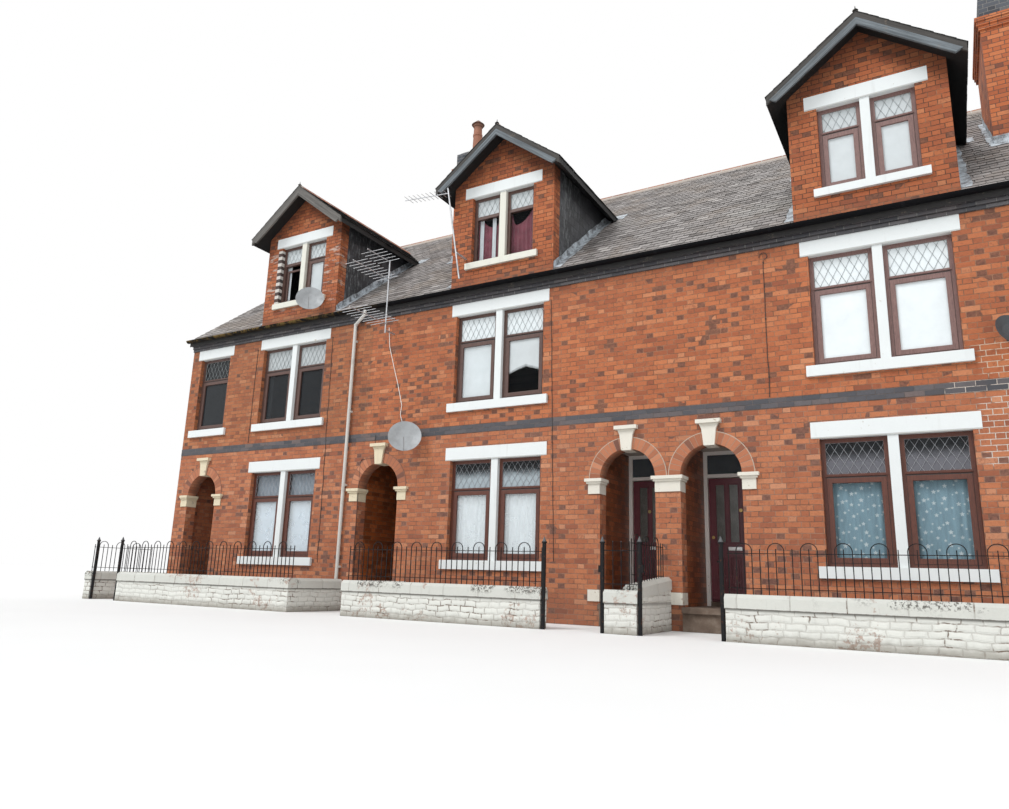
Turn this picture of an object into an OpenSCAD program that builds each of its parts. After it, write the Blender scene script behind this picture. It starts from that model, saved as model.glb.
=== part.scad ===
// Row of three brick terraced houses with porch arches, a through passage, dormers and front walls.
// Millimetres, Z up, X along the street front, Y into the building. The foot of the walls is Z = 0.

/* [Row] */
// Width of one house between party lines
house_w = 5825; // [5600:25:6100]
// Extra width of the free gable end
end_extra = 210; // [0:10:300]
// Depth of the houses from front face to rear face
house_d = 9800; // [8600:100:11000]
// Thickness of the outer walls
wall_t = 250; // [215:5:330]
// Thickness of the passage and porch walls
inner_t = 225; // [150:5:235]

/* [Levels] */
// Height of the ground floor surface
floor_z = 420; // [350:10:470]
// Height of the first floor surface
first_z = 3330; // [3200:10:3400]
// Height of the attic floor surface
attic_z = 6010; // [5990:5:6050]
// Thickness of each floor
floor_t = 150; // [100:10:200]
// Bottom of the band course
band_z = 3285; // [3260:1:3340]
// Height of the band course
band_h = 152; // [120:1:180]
// Height of the eaves course
eaves_h = 180; // [120:5:190]

/* [Roof] */
// Pitch of the main roof in degrees
roof_pitch = 39; // [37:0.5:41]
// Height of the main roof surface over the front face
roof_z = 6200; // [6180:5:6260]
// Thickness of the roof slopes
roof_t = 115; // [90:5:140]
// How far the slopes pass the gable ends
verge = 45; // [20:5:80]
// How far the slopes pass the front and rear faces
eave_out = 110; // [60:5:130]

/* [Windows] */
// Distance of the paired windows from the porch party line
win_off = 3195; // [3050:5:3300]
// Width of a paired window opening
win_w = 1890; // [1700:10:2000]
// Width of the stone mullions
mull_w = 135; // [100:5:180]
// Sill top of the ground floor windows
win0_z = 985; // [930:5:1030]
// Height of the ground floor windows
win0_h = 1800; // [1700:5:1840]
// Sill top of the first floor windows
win1_z = 3866; // [3840:1:3920]
// Height of the first floor windows
win1_h = 1734; // [1640:1:1734]
// Width of the single window over the end porch
single_w = 1010; // [800:10:1060]
// Height of the stone lintels
lintel_h = 240; // [200:1:242]
// Height of the stone sills
sill_h = 160; // [100:5:200]
// How far lintels and sills pass the opening on each side
bearing = 110; // [60:5:140]
// How far the sills stand out of the wall
sill_out = 55; // [20:5:90]
// Depth of the window frames behind the front face
reveal = 95; // [60:5:120]
// Face width of the window frame bars
bar_w = 62; // [45:1:80]
// Depth of the window frame bars
bar_d = 70; // [50:1:90]
// Thickness of the window glass
glass_t = 22; // [12:1:30]
// Share of the window height under the transom bar
transom_share = 0.7; // [0.6:0.02:0.78]

/* [Arches] */
// Distance of the porch arches from the party line
porch_off = 675; // [660:5:760]
// Half width of the porch arches
arch_r = 470; // [440:5:480]
// Half width of the passage arch
pass_r = 495; // [440:5:560]
// Height of the arch springing
spring_z = 2340; // [2300:5:2400]
// Depth of the brick arch rings
ring_d = 195; // [120:5:200]
// How far the arch rings stand out of the wall
ring_out = 8; // [4:1:20]
// Height of the keystones
key_h = 405; // [380:5:440]
// Width of the keystone caps
key_top_w = 385; // [300:5:420]
// Width of the keystones at the neck
key_neck_w = 225; // [180:5:260]
// Width of the keystones at the bottom
key_foot_w = 165; // [130:5:200]
// Height of the keystone caps
key_cap_h = 60; // [40:5:80]
// Width of the impost blocks beside the outer arches
impost_w = 205; // [180:5:240]
// Height of the impost blocks with their caps
impost_h = 250; // [200:5:300]
// Height of the moulded impost caps
cap_h = 85; // [60:5:110]
// How far the impost caps stand out
cap_out = 50; // [25:5:70]

/* [Porches] */
// Depth of the porches from the front face to the door frame
porch_d = 1350; // [1150:10:1600]
// Side step of the porch walls behind the arch
porch_jog = 15; // [0:1:30]
// Width of a front door leaf
door_w = 826; // [760:1:840]
// Height of a front door leaf
door_h = 2040; // [1960:5:2060]
// Thickness of a front door leaf
door_t = 44; // [36:1:55]
// Gap round a front door leaf
door_gap = 6; // [6:0.5:9]
// Face height of the bar over the door
head_bar = 60; // [45:5:80]
// Height of the light over the door
fan_h = 330; // [200:5:360]
// Height of the porch step
step_h = 350; // [200:5:400]
// Thickness of the slab on the porch step
step_slab = 84; // [60:2:120]
// How far the slab stands out of the step under it
step_nose = 50; // [20:5:70]
// How far the step stands out of the front face
step_out = 90; // [30:5:200]

/* [Dormers] */
// Width of a dormer front
dorm_w = 2230; // [2100:10:2300]
// Width of a dormer window opening
dwin_w = 1365; // [1200:5:1400]
// How far the dormer lintels pass the opening on each side
dlintel_bearing = 178; // [100:2:200]
// How far the dormer sills pass the opening on each side
dsill_bearing = 108; // [40:2:160]
// Sill top of the dormer windows
dwin_z = 6650; // [6620:1:6700]
// Height of the dormer windows
dwin_h = 1390; // [1260:1:1400]
// Height of the dormer ridge surface
dorm_top = 9310; // [9260:5:9400]
// Pitch of the dormer roofs in degrees
dorm_pitch = 37.5; // [36:0.5:39]
// Thickness of the dormer roof slopes
dorm_t = 100; // [80:5:120]
// How far a dormer roof passes its front
dorm_out = 300; // [200:5:380]
// How far a dormer roof passes its cheeks
dorm_side = 255; // [180:5:300]
// Thickness of the dormer cheeks
cheek_t = 110; // [80:5:150]
// Depth of the brick return behind a dormer front
return_d = 240; // [235:5:300]
// Height of the bargeboards
barge_h = 150; // [120:5:200]
// Thickness of the bargeboards
barge_t = 35; // [22:1:45]

/* [Front walls] */
// Distance of the front wall face from the houses
yard_d = 1515; // [1300:10:1800]
// Thickness of the front walls
gwall_t = 240; // [200:5:280]
// Height of the front walls with their coping
gwall_h = 585; // [500:5:660]
// Height of the coping stones
coping_h = 185; // [140:5:200]
// Width of the wall between the middle paths
divide_w = 490; // [440:5:540]
// How far the dividing wall steps up behind the front wall
divide_lift = 75; // [0:5:100]
// How far the dividing wall rises on its way to the houses
divide_rise = 124; // [0:4:150]
// Height of the gate posts
post_h = 1310; // [1280:5:1400]
// Radius of the gate posts
post_r = 29; // [22:1:34]
// Height of the top rail
rail_top = 1100; // [1060:5:1140]
// Height of the bottom rail
rail_low = 668; // [664:2:720]
// Height of the hoops
hoop_top = 1225; // [1205:5:1260]
// Distance between railing bars
bar_step = 98; // [80:1:130]
// Thickness of the railing bars
rod = 13; // [10:1:16]

/* [Chimneys] */
// Width of the chimney stacks along the row
stack_w = 830; // [740:5:900]
// Length of the chimney stacks across the roof
stack_l = 1600; // [1200:10:1800]
// Distance of the chimney fronts behind the front face
stack_y = 2000; // [1900:10:2300]
// Height of the chimney stacks
stack_z = 10600; // [10400:10:11000]
// Height of the chimney pots
pot_h = 830; // [600:10:900]

/* [Fittings] */
// Radius of the rain gutters
gutter_r = 62; // [50:1:75]
// Radius of the rain pipes
pipe_r = 34; // [28:1:40]
// Radius of the satellite dishes
dish_r = 330; // [260:5:360]

/* [Hidden] */
e = 0.5;
xl = -2*house_w - end_extra;
xr = house_w;
xs = [-2*house_w + win_off, -win_off, win_off];
xp = [-2*house_w + porch_off, -porch_off, porch_off];
xpass = -house_w;
xn = xp[0] - 55;
clear = 0.3;
tr = tan(roof_pitch);
td = tan(dorm_pitch);
rv = roof_t/cos(roof_pitch);
dv = dorm_t/cos(dorm_pitch);
ridge_y = house_d/2;
ridge_z = roof_z + ridge_y*tr;
band_top = band_z + band_h;
eaves_z = win1_z + win1_h + lintel_h;
wall_top = roof_z - rv - 3;
rear_y = house_d - wall_t;
light_w = (win_w - mull_w)/2;
dsill_h = 125;
cheek_top = dorm_top - dorm_w/2*td - dv;
split_y = (cheek_top - roof_z)/tr;
dorm_half = dorm_w/2 + dorm_side;
porch_half = arch_r + porch_jog;
frame_w = porch_half - door_w/2 - door_gap;
frame_d = 90;
hinge_out = 11;
hinge_r = 9;
pin_gap = 1;
pin_hs = [230, 1020, 1780];
porch_top = floor_z + door_h + door_gap + head_bar + fan_h + head_bar;
ceil_z = first_z - floor_t;
rear_off = [1450, 4050];
rear_w = 1000;
rear_door_h = 2100;
side_x = xl - 560;
div_x = [40 - divide_w, 40];
gate_x = [-1395, div_x[0] - post_r, div_x[1] + post_r, 1175];
post_y = 45 - yard_d;
divide_a = atan(divide_rise/(yard_d - gwall_t/2));
panel_end = 33;
stile = 110;
muntin = 72;
pipe_room = 2*pipe_r + 42;
pot_r = 120;
bx0 = side_x - gwall_t/2;
bx1 = xr + verge;
by0 = -yard_d;
by1 = house_d + eave_out + 2*gutter_r;
cx = (bx0 + bx1)/2;
cy = (by0 + by1)/2;

module place() { translate([-cx, -cy, 0]) children(); }
module box(a, b) { translate(a) cube([b[0]-a[0], b[1]-a[1], b[2]-a[2]]); }
// Profile drawn in Y and Z, drawn out along X from x0 to x1
module alongx(x0, x1) { translate([x0, 0, 0]) rotate([90, 0, 90]) linear_extrude(x1-x0) children(); }
// Profile drawn in X and Z, drawn out along Y from y0 to y1
module alongy(y0, y1) { translate([0, y1, 0]) rotate([90, 0, 0]) linear_extrude(y1-y0) children(); }

module lintel_set() {
 for (x = xs) {
  box([x-win_w/2-bearing, -5, win0_z+win0_h], [x+win_w/2+bearing, wall_t, win0_z+win0_h+lintel_h]);
  box([x-win_w/2-bearing, -5, win1_z+win1_h], [x+win_w/2+bearing, wall_t, eaves_z]);
  box([x-dwin_w/2-dlintel_bearing, -5, dwin_z+dwin_h],
   [x+dwin_w/2+dlintel_bearing, return_d, dwin_z+dwin_h+lintel_h]);
 }
 box([xn-single_w/2-bearing, -5, win1_z+win1_h], [xn+single_w/2+bearing, wall_t, eaves_z]);
}
module sill_set() {
 for (x = xs) {
  box([x-win_w/2-bearing, -sill_out, win0_z-sill_h], [x+win_w/2+bearing, wall_t, win0_z]);
  box([x-win_w/2-bearing, -sill_out, win1_z-sill_h], [x+win_w/2+bearing, wall_t, win1_z]);
  box([x-dwin_w/2-dsill_bearing, -sill_out, dwin_z-dsill_h], [x+dwin_w/2+dsill_bearing, return_d, dwin_z]);
 }
 box([xn-single_w/2-bearing, -sill_out, win1_z-sill_h], [xn+single_w/2+bearing, wall_t, win1_z]);
}
function rear_xs() = [for (h = [0, 1, 2]) for (o = rear_off) h == 0 ? -2*house_w + o : h == 1 ? -o : o];
function rear_edges() = let (r = rear_xs()) [xl, r[0]-rear_w/2, r[0]+rear_w/2, r[1]-rear_w/2, r[1]+rear_w/2,
 xpass-pass_r, xpass+pass_r, r[3]-rear_w/2, r[3]+rear_w/2, r[2]-rear_w/2, r[2]+rear_w/2,
 r[4]-rear_w/2, r[4]+rear_w/2, r[5]-rear_w/2, r[5]+rear_w/2, xr];

module wall_piers() color([0.72, 0.36, 0.22]) place() {
 low = [xl, xp[0]-arch_r, xp[0]+arch_r, xs[0]-win_w/2, xs[0]+win_w/2, xpass-pass_r, xpass+pass_r,
  xs[1]-win_w/2, xs[1]+win_w/2, xp[1]-arch_r, xp[1]+arch_r, xp[2]-arch_r, xp[2]+arch_r,
  xs[2]-win_w/2, xs[2]+win_w/2, xr];
 up = [xl, xn-single_w/2, xn+single_w/2, xs[0]-win_w/2, xs[0]+win_w/2, xs[1]-win_w/2,
  xs[1]+win_w/2, xs[2]-win_w/2, xs[2]+win_w/2, xr];
 back = rear_edges();
 difference() {
  union() {
   for (i = [0:2:14]) box([low[i], 0, 0], [low[i+1], wall_t, spring_z]);
   for (i = [0:2:8]) box([up[i], 0, band_top], [up[i+1], wall_t, eaves_z]);
  }
  lintel_set();
  sill_set();
  impost_set();
  plinth_set();
 }
 for (i = [0:2:14]) box([back[i], rear_y, 0], [back[i+1], house_d, wall_top]);
}
module arch_walls() color([0.72, 0.36, 0.22]) place() {
 spans = [[xl, xs[0]-win_w/2], [xs[0]+win_w/2, xs[1]-win_w/2], [xs[1]+win_w/2, xs[2]-win_w/2],
  [xs[2]+win_w/2, xr]];
 difference() {
  for (s = spans) box([s[0], 0, spring_z], [s[1], wall_t, band_z]);
  for (x = xp) arch_hole(x, arch_r+ring_d);
  arch_hole(xpass, pass_r+ring_d);
  key_set();
  lintel_set();
 }
}
module arch_hole(x, r) {
 translate([x, wall_t+e, spring_z]) rotate([90, 0, 0]) cylinder(h = wall_t+2*e, r = r, $fn = 96);
}
module wall_panels() color([0.72, 0.36, 0.22]) place() {
 for (x = xs) {
  box([x-win_w/2, 0, 0], [x+win_w/2, wall_t, win0_z-sill_h]);
  box([x-win_w/2, 0, win0_z+win0_h+lintel_h], [x+win_w/2, wall_t, band_z]);
  box([x-win_w/2, 0, band_top], [x+win_w/2, wall_t, win1_z-sill_h]);
 }
 box([xn-single_w/2, 0, band_top], [xn+single_w/2, wall_t, win1_z-sill_h]);
 r = rear_xs();
 for (i = [0:5]) {
  x = r[i];
  if (i % 2 == 0) box([x-rear_w/2, rear_y, 0], [x+rear_w/2, house_d, floor_z]);
  if (i % 2 == 1) box([x-rear_w/2, rear_y, 0], [x+rear_w/2, house_d, win0_z]);
  low = i % 2 == 0 ? floor_z + rear_door_h : win0_z + win0_h;
  box([x-rear_w/2, rear_y, low], [x+rear_w/2, house_d, win1_z]);
  box([x-rear_w/2, rear_y, win1_z+win1_h], [x+rear_w/2, house_d, wall_top]);
 }
 box([xpass-pass_r, rear_y, spring_z+pass_r], [xpass+pass_r, house_d, wall_top]);
}
module band_course() color([0.30, 0.32, 0.36]) place()
 box([xl, -6, band_z], [xr, wall_t, band_top]);
module eaves_course() color([0.16, 0.17, 0.19]) place() alongx(xl, xr)
 polygon([[wall_t, eaves_z], [-25, eaves_z], [-25, eaves_z+eaves_h/3], [-50, eaves_z+eaves_h/3],
  [-50, eaves_z+2*eaves_h/3], [-75, eaves_z+2*eaves_h/3], [-75, wall_top-75*tr], [0, wall_top],
  [wall_t, wall_top]]);
module end_walls() color([0.70, 0.35, 0.22]) place() for (x = [xl, xr-wall_t]) alongx(x, x+wall_t)
 polygon([[wall_t, 0], [rear_y, 0], [rear_y, wall_top], [house_d, wall_top], [house_d, roof_z-rv-clear],
  [ridge_y, ridge_z-rv-clear], [0, roof_z-rv-clear], [0, wall_top], [wall_t, wall_top]]);
module inner_walls() color([0.55, 0.30, 0.20]) place() {
 for (s = [-1, 1]) {
  x = xpass + s*(pass_r + inner_t/2);
  box([x-inner_t/2, wall_t, 0], [x+inner_t/2, rear_y, ceil_z]);
 }
 py = porch_d + inner_t;
 box([xp[1]+porch_half, wall_t, 0], [xp[2]-porch_half, py, ceil_z]);
 box([xp[2]+porch_half, wall_t, 0], [xp[2]+porch_half+inner_t, py, ceil_z]);
 box([xp[1]-porch_half-inner_t, wall_t, 0], [xp[1]-porch_half, py, ceil_z]);
 box([xp[0]+porch_half, wall_t, 0], [xp[0]+porch_half+inner_t, py, ceil_z]);
}
module porch_heads() color([0.75, 0.72, 0.68]) place() for (x = xp)
 box([max(x-porch_half, xl+wall_t), wall_t, porch_top], [x+porch_half, porch_d+inner_t, ceil_z]);
module ground_floors() color([0.55, 0.42, 0.30]) place() {
 py = porch_d + inner_t;
 zb = floor_z - floor_t;
 difference() {
  union() {
   box([xl+wall_t, wall_t, zb], [xpass-pass_r-inner_t, rear_y, floor_z]);
   box([xpass+pass_r+inner_t, wall_t, zb], [xr-wall_t, rear_y, floor_z]);
  }
  box([xl, 0, 0], [xp[0]+porch_half+inner_t, porch_d+frame_d, floor_z+1]);
  box([xp[0]+porch_half, 0, 0], [xp[0]+porch_half+inner_t, py, floor_z+1]);
  box([xp[1]-porch_half-inner_t, 0, 0], [xp[2]+porch_half+inner_t, porch_d+frame_d, floor_z+1]);
  box([xp[1]-porch_half-inner_t, 0, 0], [xp[1]-porch_half, py, floor_z+1]);
  box([xp[1]+porch_half, 0, 0], [xp[2]-porch_half, py, floor_z+1]);
  box([xp[2]+porch_half, 0, 0], [xp[2]+porch_half+inner_t, py, floor_z+1]);
 }
}
module upper_floors() color([0.60, 0.46, 0.33]) place() for (z = [first_z, attic_z])
 box([xl+wall_t, wall_t, z-floor_t], [xr-wall_t, rear_y, z]);

module lintels() color([0.90, 0.89, 0.84]) place() lintel_set();
module sills() color([0.90, 0.89, 0.84]) place() sill_set();
module mullions() color([0.91, 0.90, 0.85]) place() for (x = xs) {
 box([x-mull_w/2, 15, win0_z], [x+mull_w/2, reveal+bar_d, win0_z+win0_h]);
 box([x-mull_w/2, 15, win1_z], [x+mull_w/2, reveal+bar_d, win1_z+win1_h]);
 box([x-mull_w/2, 15, dwin_z], [x+mull_w/2, reveal+bar_d, dwin_z+dwin_h]);
}
// Half ring of the arch brickwork round one opening
module half_ring(x, r) translate([x, 0, spring_z]) difference() {
 translate([0, wall_t, 0]) rotate([90, 0, 0]) cylinder(h = wall_t+ring_out, r = r+ring_d, $fn = 96);
 translate([0, wall_t+e, 0]) rotate([90, 0, 0]) cylinder(h = wall_t+ring_out+2*e, r = r, $fn = 96);
 translate([-2*r-ring_d, -2*wall_t, -2*r-ring_d]) cube([4*r+2*ring_d, 4*wall_t, 2*r+ring_d]);
}
module arch_rings() color([0.78, 0.38, 0.22]) place() difference() {
 union() {
  for (x = xp) half_ring(x, arch_r);
  half_ring(xpass, pass_r);
 }
 key_set();
}
// Keystones: a wedge that flares out under a flat cap
module key(x, r) {
 z0 = spring_z + r - 30;
 zn = key_h - key_cap_h;
 alongy(-45, wall_t) translate([x, z0])
  polygon([[-key_foot_w/2, 0], [key_foot_w/2, 0], [key_neck_w/2, zn-85], [key_top_w/2-42, zn],
   [42-key_top_w/2, zn], [-key_neck_w/2, zn-85]]);
 box([x-key_top_w/2, -95, z0+zn], [x+key_top_w/2, wall_t, z0+key_h]);
}
module key_set() {
 for (x = xp) key(x, arch_r);
 key(xpass, pass_r);
}
// Impost block with its cap: x0 and x1 are the block's sides
module impost(x0, x1, left, right) {
 z0 = spring_z - impost_h;
 zc = spring_z - cap_h;
 box([x0, -20, z0], [x1, wall_t, zc]);
 alongy_steps(x0, x1, left, right, zc);
}
module alongy_steps(x0, x1, left, right, zc) {
 box([x0-left*cap_out*0.5, -20-cap_out*0.5, zc], [x1+right*cap_out*0.5, wall_t, zc+cap_h*0.4]);
 box([x0-left*cap_out, -20-cap_out, zc+cap_h*0.4], [x1+right*cap_out, wall_t, zc+cap_h]);
}
module impost_set() {
 w = impost_w;
 impost(max(xl, xp[0]-arch_r-w), xp[0]-arch_r, 0, 1);
 impost(xp[0]+arch_r, xp[0]+arch_r+w, 1, 1);
 impost(xpass-pass_r-w, xpass-pass_r, 1, 1);
 impost(xpass+pass_r, xpass+pass_r+w, 1, 1);
 impost(xp[1]-arch_r-w, xp[1]-arch_r, 1, 1);
 impost(xp[1]+arch_r, xp[2]-arch_r, 1, 1);
 impost(xp[2]+arch_r, xp[2]+arch_r+w, 1, 1);
}
module plinth_set() {
 w = impost_w;
 for (s = [[xp[0]+arch_r, xp[0]+arch_r+w], [xp[1]-arch_r-w, xp[1]-arch_r],
  [xp[1]+arch_r, xp[2]-arch_r], [xp[2]+arch_r, xp[2]+arch_r+w]])
  box([s[0], -22, 380], [s[1], wall_t, 560]);
}
module arch_stones() color([0.90, 0.89, 0.84]) place() {
 key_set();
 impost_set();
 plinth_set();
}
// Roof slopes
module roof_strip(x0, x1, y0, y1) alongx(x0, x1)
 polygon([[y0, roof_z+y0*tr-rv], [y1, roof_z+y1*tr-rv], [y1, roof_z+y1*tr], [y0, roof_z+y0*tr]]);
module roof_front() color([0.36, 0.34, 0.35]) place() {
 ed = [xl-verge, xs[0]-dorm_w/2, xs[0]+dorm_w/2, xs[1]-dorm_w/2, xs[1]+dorm_w/2, xs[2]-dorm_w/2,
  xs[2]+dorm_w/2, xr+verge];
 for (i = [0:2:6]) roof_strip(ed[i], ed[i+1], -eave_out, split_y);
}
module roof_upper() color([0.36, 0.34, 0.35]) place()
 roof_strip(xl-verge, xr+verge, split_y, ridge_y);
module roof_rear() color([0.36, 0.34, 0.35]) place() translate([0, house_d, 0]) mirror([0, 1, 0])
 roof_strip(xl-verge, xr+verge, -eave_out, ridge_y);
module under_roof() alongx(xl-1000, xr+1000)
 polygon([[-900, 0], [ridge_y+10, 0], [ridge_y+10, ridge_z+10*tr+clear], [-900, roof_z-900*tr+clear]]);
module ridge_tiles() color([0.66, 0.33, 0.24]) place() {
 alongx(xl-verge, xr+verge) translate([ridge_y, ridge_z+clear])
  polygon([[-150, -150*tr], [-150, -150*tr+26], [-45, 26], [0, 52], [45, 26], [150, -150*tr+26],
   [150, -150*tr], [0, 0]]);
 for (x = xs) difference() {
  alongy(-dorm_out, ridge_y) translate([x, dorm_top+clear])
   polygon([[-110, -110*td], [-110, -110*td+24], [-36, 20], [0, 42], [36, 20], [110, -110*td+24],
    [110, -110*td], [0, 0]]);
  under_roof();
 }
}

// Dormers
module dormer_piers() color([0.70, 0.35, 0.22]) place() difference() {
 for (x = xs) for (s = [-1, 1]) {
  xa = x + (s < 0 ? -dorm_w/2 : dwin_w/2);
  box([xa, 0, wall_top], [xa+(dorm_w-dwin_w)/2, return_d, dwin_z+dwin_h]);
 }
 lintel_set();
 sill_set();
}
module dormer_panels() color([0.70, 0.35, 0.22]) place() {
 for (x = xs) box([x-dwin_w/2, 0, wall_top], [x+dwin_w/2, return_d, dwin_z-dsill_h]);
 difference() {
  for (x = xs) alongy(0, return_d) translate([x, dwin_z+dwin_h])
   polygon([[-dorm_w/2, 0], [dorm_w/2, 0], [dorm_w/2, cheek_top-clear-dwin_z-dwin_h],
    [0, dorm_top-dv-clear-dwin_z-dwin_h], [-dorm_w/2, cheek_top-clear-dwin_z-dwin_h]]);
  lintel_set();
 }
}
module dormer_cheeks() color([0.13, 0.13, 0.14]) place() for (x = xs) for (s = [0, 1]) {
 xa = x + (s == 0 ? -dorm_w/2 : dorm_w/2-cheek_t);
 alongx(xa, xa+cheek_t) polygon([[return_d, roof_z+return_d*tr-rv], [split_y, roof_z+split_y*tr-rv],
  [split_y, cheek_top-clear], [return_d, cheek_top-clear]]);
}
module dormer_slope(s) difference() {
 for (x = xs) alongy(-dorm_out, ridge_y) translate([x, dorm_top])
  polygon([[0, 0], [s*dorm_half, -dorm_half*td], [s*dorm_half, -dorm_half*td-dv], [0, -dv]]);
 under_roof();
}
module dormer_roof_left() color([0.33, 0.32, 0.33]) place() dormer_slope(-1);
module dormer_roof_right() color([0.33, 0.32, 0.33]) place() dormer_slope(1);
module bargeboards() color([0.40, 0.41, 0.42]) place() for (x = xs)
 alongy(-dorm_out-barge_t, -dorm_out) translate([x, dorm_top])
  polygon([[0, 10], [dorm_half, 10-dorm_half*td], [dorm_half, 10-barge_h-dorm_half*td],
   [dorm_half-60, 10-barge_h-(dorm_half-60)*td], [0, 10-barge_h],
   [60-dorm_half, 10-barge_h-(dorm_half-60)*td], [-dorm_half, 10-barge_h-dorm_half*td],
   [-dorm_half, 10-dorm_half*td]]);

// Windows: one light with a fixed lower pane and an upper pane over the transom bar
module light_frame(x0, x1, z0, z1, y) difference() {
 box([x0, y, z0], [x1, y+bar_d, z1]);
 zt = z0 + (z1-z0)*transom_share;
 box([x0+bar_w, y-e, z0+bar_w], [x1-bar_w, y+bar_d+e, zt-bar_w/2]);
 box([x0+bar_w, y-e, zt+bar_w/2], [x1-bar_w, y+bar_d+e, z1-bar_w]);
}
module light_glass(x0, x1, z0, z1, y, open = false) {
 zt = z0 + (z1-z0)*transom_share;
 yg = y + (bar_d-glass_t)/2;
 if (!open) box([x0+bar_w, yg, z0+bar_w], [x1-bar_w, yg+glass_t, zt-bar_w/2]);
 box([x0+bar_w, yg, zt+bar_w/2], [x1-bar_w, yg+glass_t, z1-bar_w]);
}
module each_light(glass) {
 rows = [[win_w, win0_z, win0_h], [win_w, win1_z, win1_h], [dwin_w, dwin_z, dwin_h]];
 for (x = xs) for (r = rows) for (s = [0, 1]) {
  xa = s == 0 ? x-r[0]/2 : x+mull_w/2;
  xb = s == 0 ? x-mull_w/2 : x+r[0]/2;
  if (glass) light_glass(xa, xb, r[1], r[1]+r[2], reveal, x == xs[0] && r[1] == dwin_z && s == 0);
  if (!glass) light_frame(xa, xb, r[1], r[1]+r[2], reveal);
 }
 xa = xn-single_w/2;
 if (glass) light_glass(xa, xa+single_w, win1_z, win1_z+win1_h, reveal);
 if (!glass) light_frame(xa, xa+single_w, win1_z, win1_z+win1_h, reveal);
 rr = rear_xs();
 yb = house_d - reveal - bar_d;
 for (i = [0:5]) {
  x = rr[i]-rear_w/2;
  if (glass) light_glass(x, x+rear_w, win1_z, win1_z+win1_h, yb);
  if (!glass) light_frame(x, x+rear_w, win1_z, win1_z+win1_h, yb);
  if (i % 2 == 1) {
   if (glass) light_glass(x, x+rear_w, win0_z, win0_z+win0_h, yb);
   if (!glass) light_frame(x, x+rear_w, win0_z, win0_z+win0_h, yb);
  }
 }
}
module window_frames() color([0.32, 0.17, 0.13]) place() each_light(false);
module window_glass() color([0.55, 0.65, 0.70, 0.5]) place() {
 each_light(true);
 for (x = xp) {
  zf = porch_top - head_bar - fan_h;
  box([x-door_w/2-door_gap, porch_d+30, zf], [x+door_w/2+door_gap, porch_d+30+glass_t, zf+fan_h]);
 }
}
// Curtains hang from the heads of the front windows
module curtains() color([0.88, 0.89, 0.90]) place() {
 rows = [[win_w, win0_z, win0_h], [win_w, win1_z, win1_h], [dwin_w, dwin_z, dwin_h]];
 for (x = xs) for (r = rows) for (s = [-1, 1]) {
  xa = s < 0 ? x-r[0]/2+30 : x+mull_w/2+30;
  xb = s < 0 ? x-mull_w/2-30 : x+r[0]/2-30;
  box([xa, reveal+bar_d+22, r[1]+25], [xb, reveal+bar_d+34, r[1]+r[2]]);
 }
}

// Doors
module door_frame(x) {
 y = porch_d;
 zf = porch_top - head_bar - fan_h;
 wi = door_w/2 + door_gap;
 xlow = max(x-porch_half, xl+wall_t);
 difference() {
  box([xlow, y, step_h], [x+porch_half, y+frame_d, porch_top]);
  box([x-wi, y-e, 0], [x+wi, y+frame_d+e, zf-head_bar]);
  box([x-wi, y-e, zf], [x+wi, y+frame_d+e, zf+fan_h]);
 }
}
// Hinge pin on a plate: the frame keeps the pin, the leaf keeps the knuckle over it
module door_pin(z) translate([0, 0, z]) {
 cylinder(h = 96, r = hinge_r-3-pin_gap, $fn = 24);
 translate([0, 0, -30]) cylinder(h = 30, r = hinge_r, $fn = 24);
 translate([-30, -hinge_out, -30]) cube([30, hinge_out+2, 30]);
}
module door_knuckle(z) translate([0, 0, z+pin_gap]) difference() {
 union() {
  cylinder(h = 90, r = hinge_r, $fn = 24);
  translate([0, -hinge_out, 0]) translate([door_gap/2, 0, 0]) cube([28, hinge_out+2, 90]);
 }
 translate([0, 0, -1]) cylinder(h = 92, r = hinge_r-3, $fn = 24);
}
module door_frames() color([0.80, 0.78, 0.74]) place() {
 for (x = xp) door_frame(x);
 pins(xp[2]);
 translate([xp[1], 0, 0]) mirror([1, 0, 0]) pins(0);
}
module pins(x) translate([x-door_w/2-door_gap/2, porch_d+frame_d+hinge_out, floor_z])
 for (z = pin_hs) door_pin(z);
module knuckles(x) translate([x-door_w/2-door_gap/2, porch_d+frame_d+hinge_out, floor_z])
 for (z = pin_hs) door_knuckle(z);
module door_leaf(x, spare = 0) {
 y = porch_d + frame_d - door_t;
 z0 = floor_z + door_gap - spare;
 z1 = floor_z + door_h + spare - door_gap;
 pane = (door_w - 2*stile - 2*muntin)/3;
 difference() {
  box([x-door_w/2-spare, y, z0], [x+door_w/2+spare, y+door_t, z1]);
  for (i = [0:2]) for (r = [[z0+956, z1-105], [z0+200, z0+715]]) {
   xa = x - door_w/2 + stile + i*(pane+muntin);
   box([xa, y-e, r[0]], [xa+pane, y+11, r[1]]);
  }
 }
 box([x-110, y-8, z0+830], [x+110, y, z0+883]);
 translate([x+pane/2+muntin/2, y, z0+1486]) rotate([90, 0, 0]) cylinder(h = 16, r = 24, $fn = 24);
}
module hung_leaf(x) {
 door_leaf(x);
 knuckles(x);
}
module middle_door() color([0.28, 0.07, 0.09]) place() translate([xp[1], 0, 0]) mirror([1, 0, 0]) hung_leaf(0);
module right_door() color([0.28, 0.07, 0.09]) place() hung_leaf(xp[2]);
module fixed_doors() color([0.28, 0.07, 0.09]) place() {
 door_leaf(xp[0], door_gap);
 rr = rear_xs();
 for (i = [0, 2, 4]) box([rr[i]-rear_w/2, house_d-reveal-bar_d, floor_z],
  [rr[i]+rear_w/2, house_d-reveal, floor_z+rear_door_h]);
}
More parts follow.
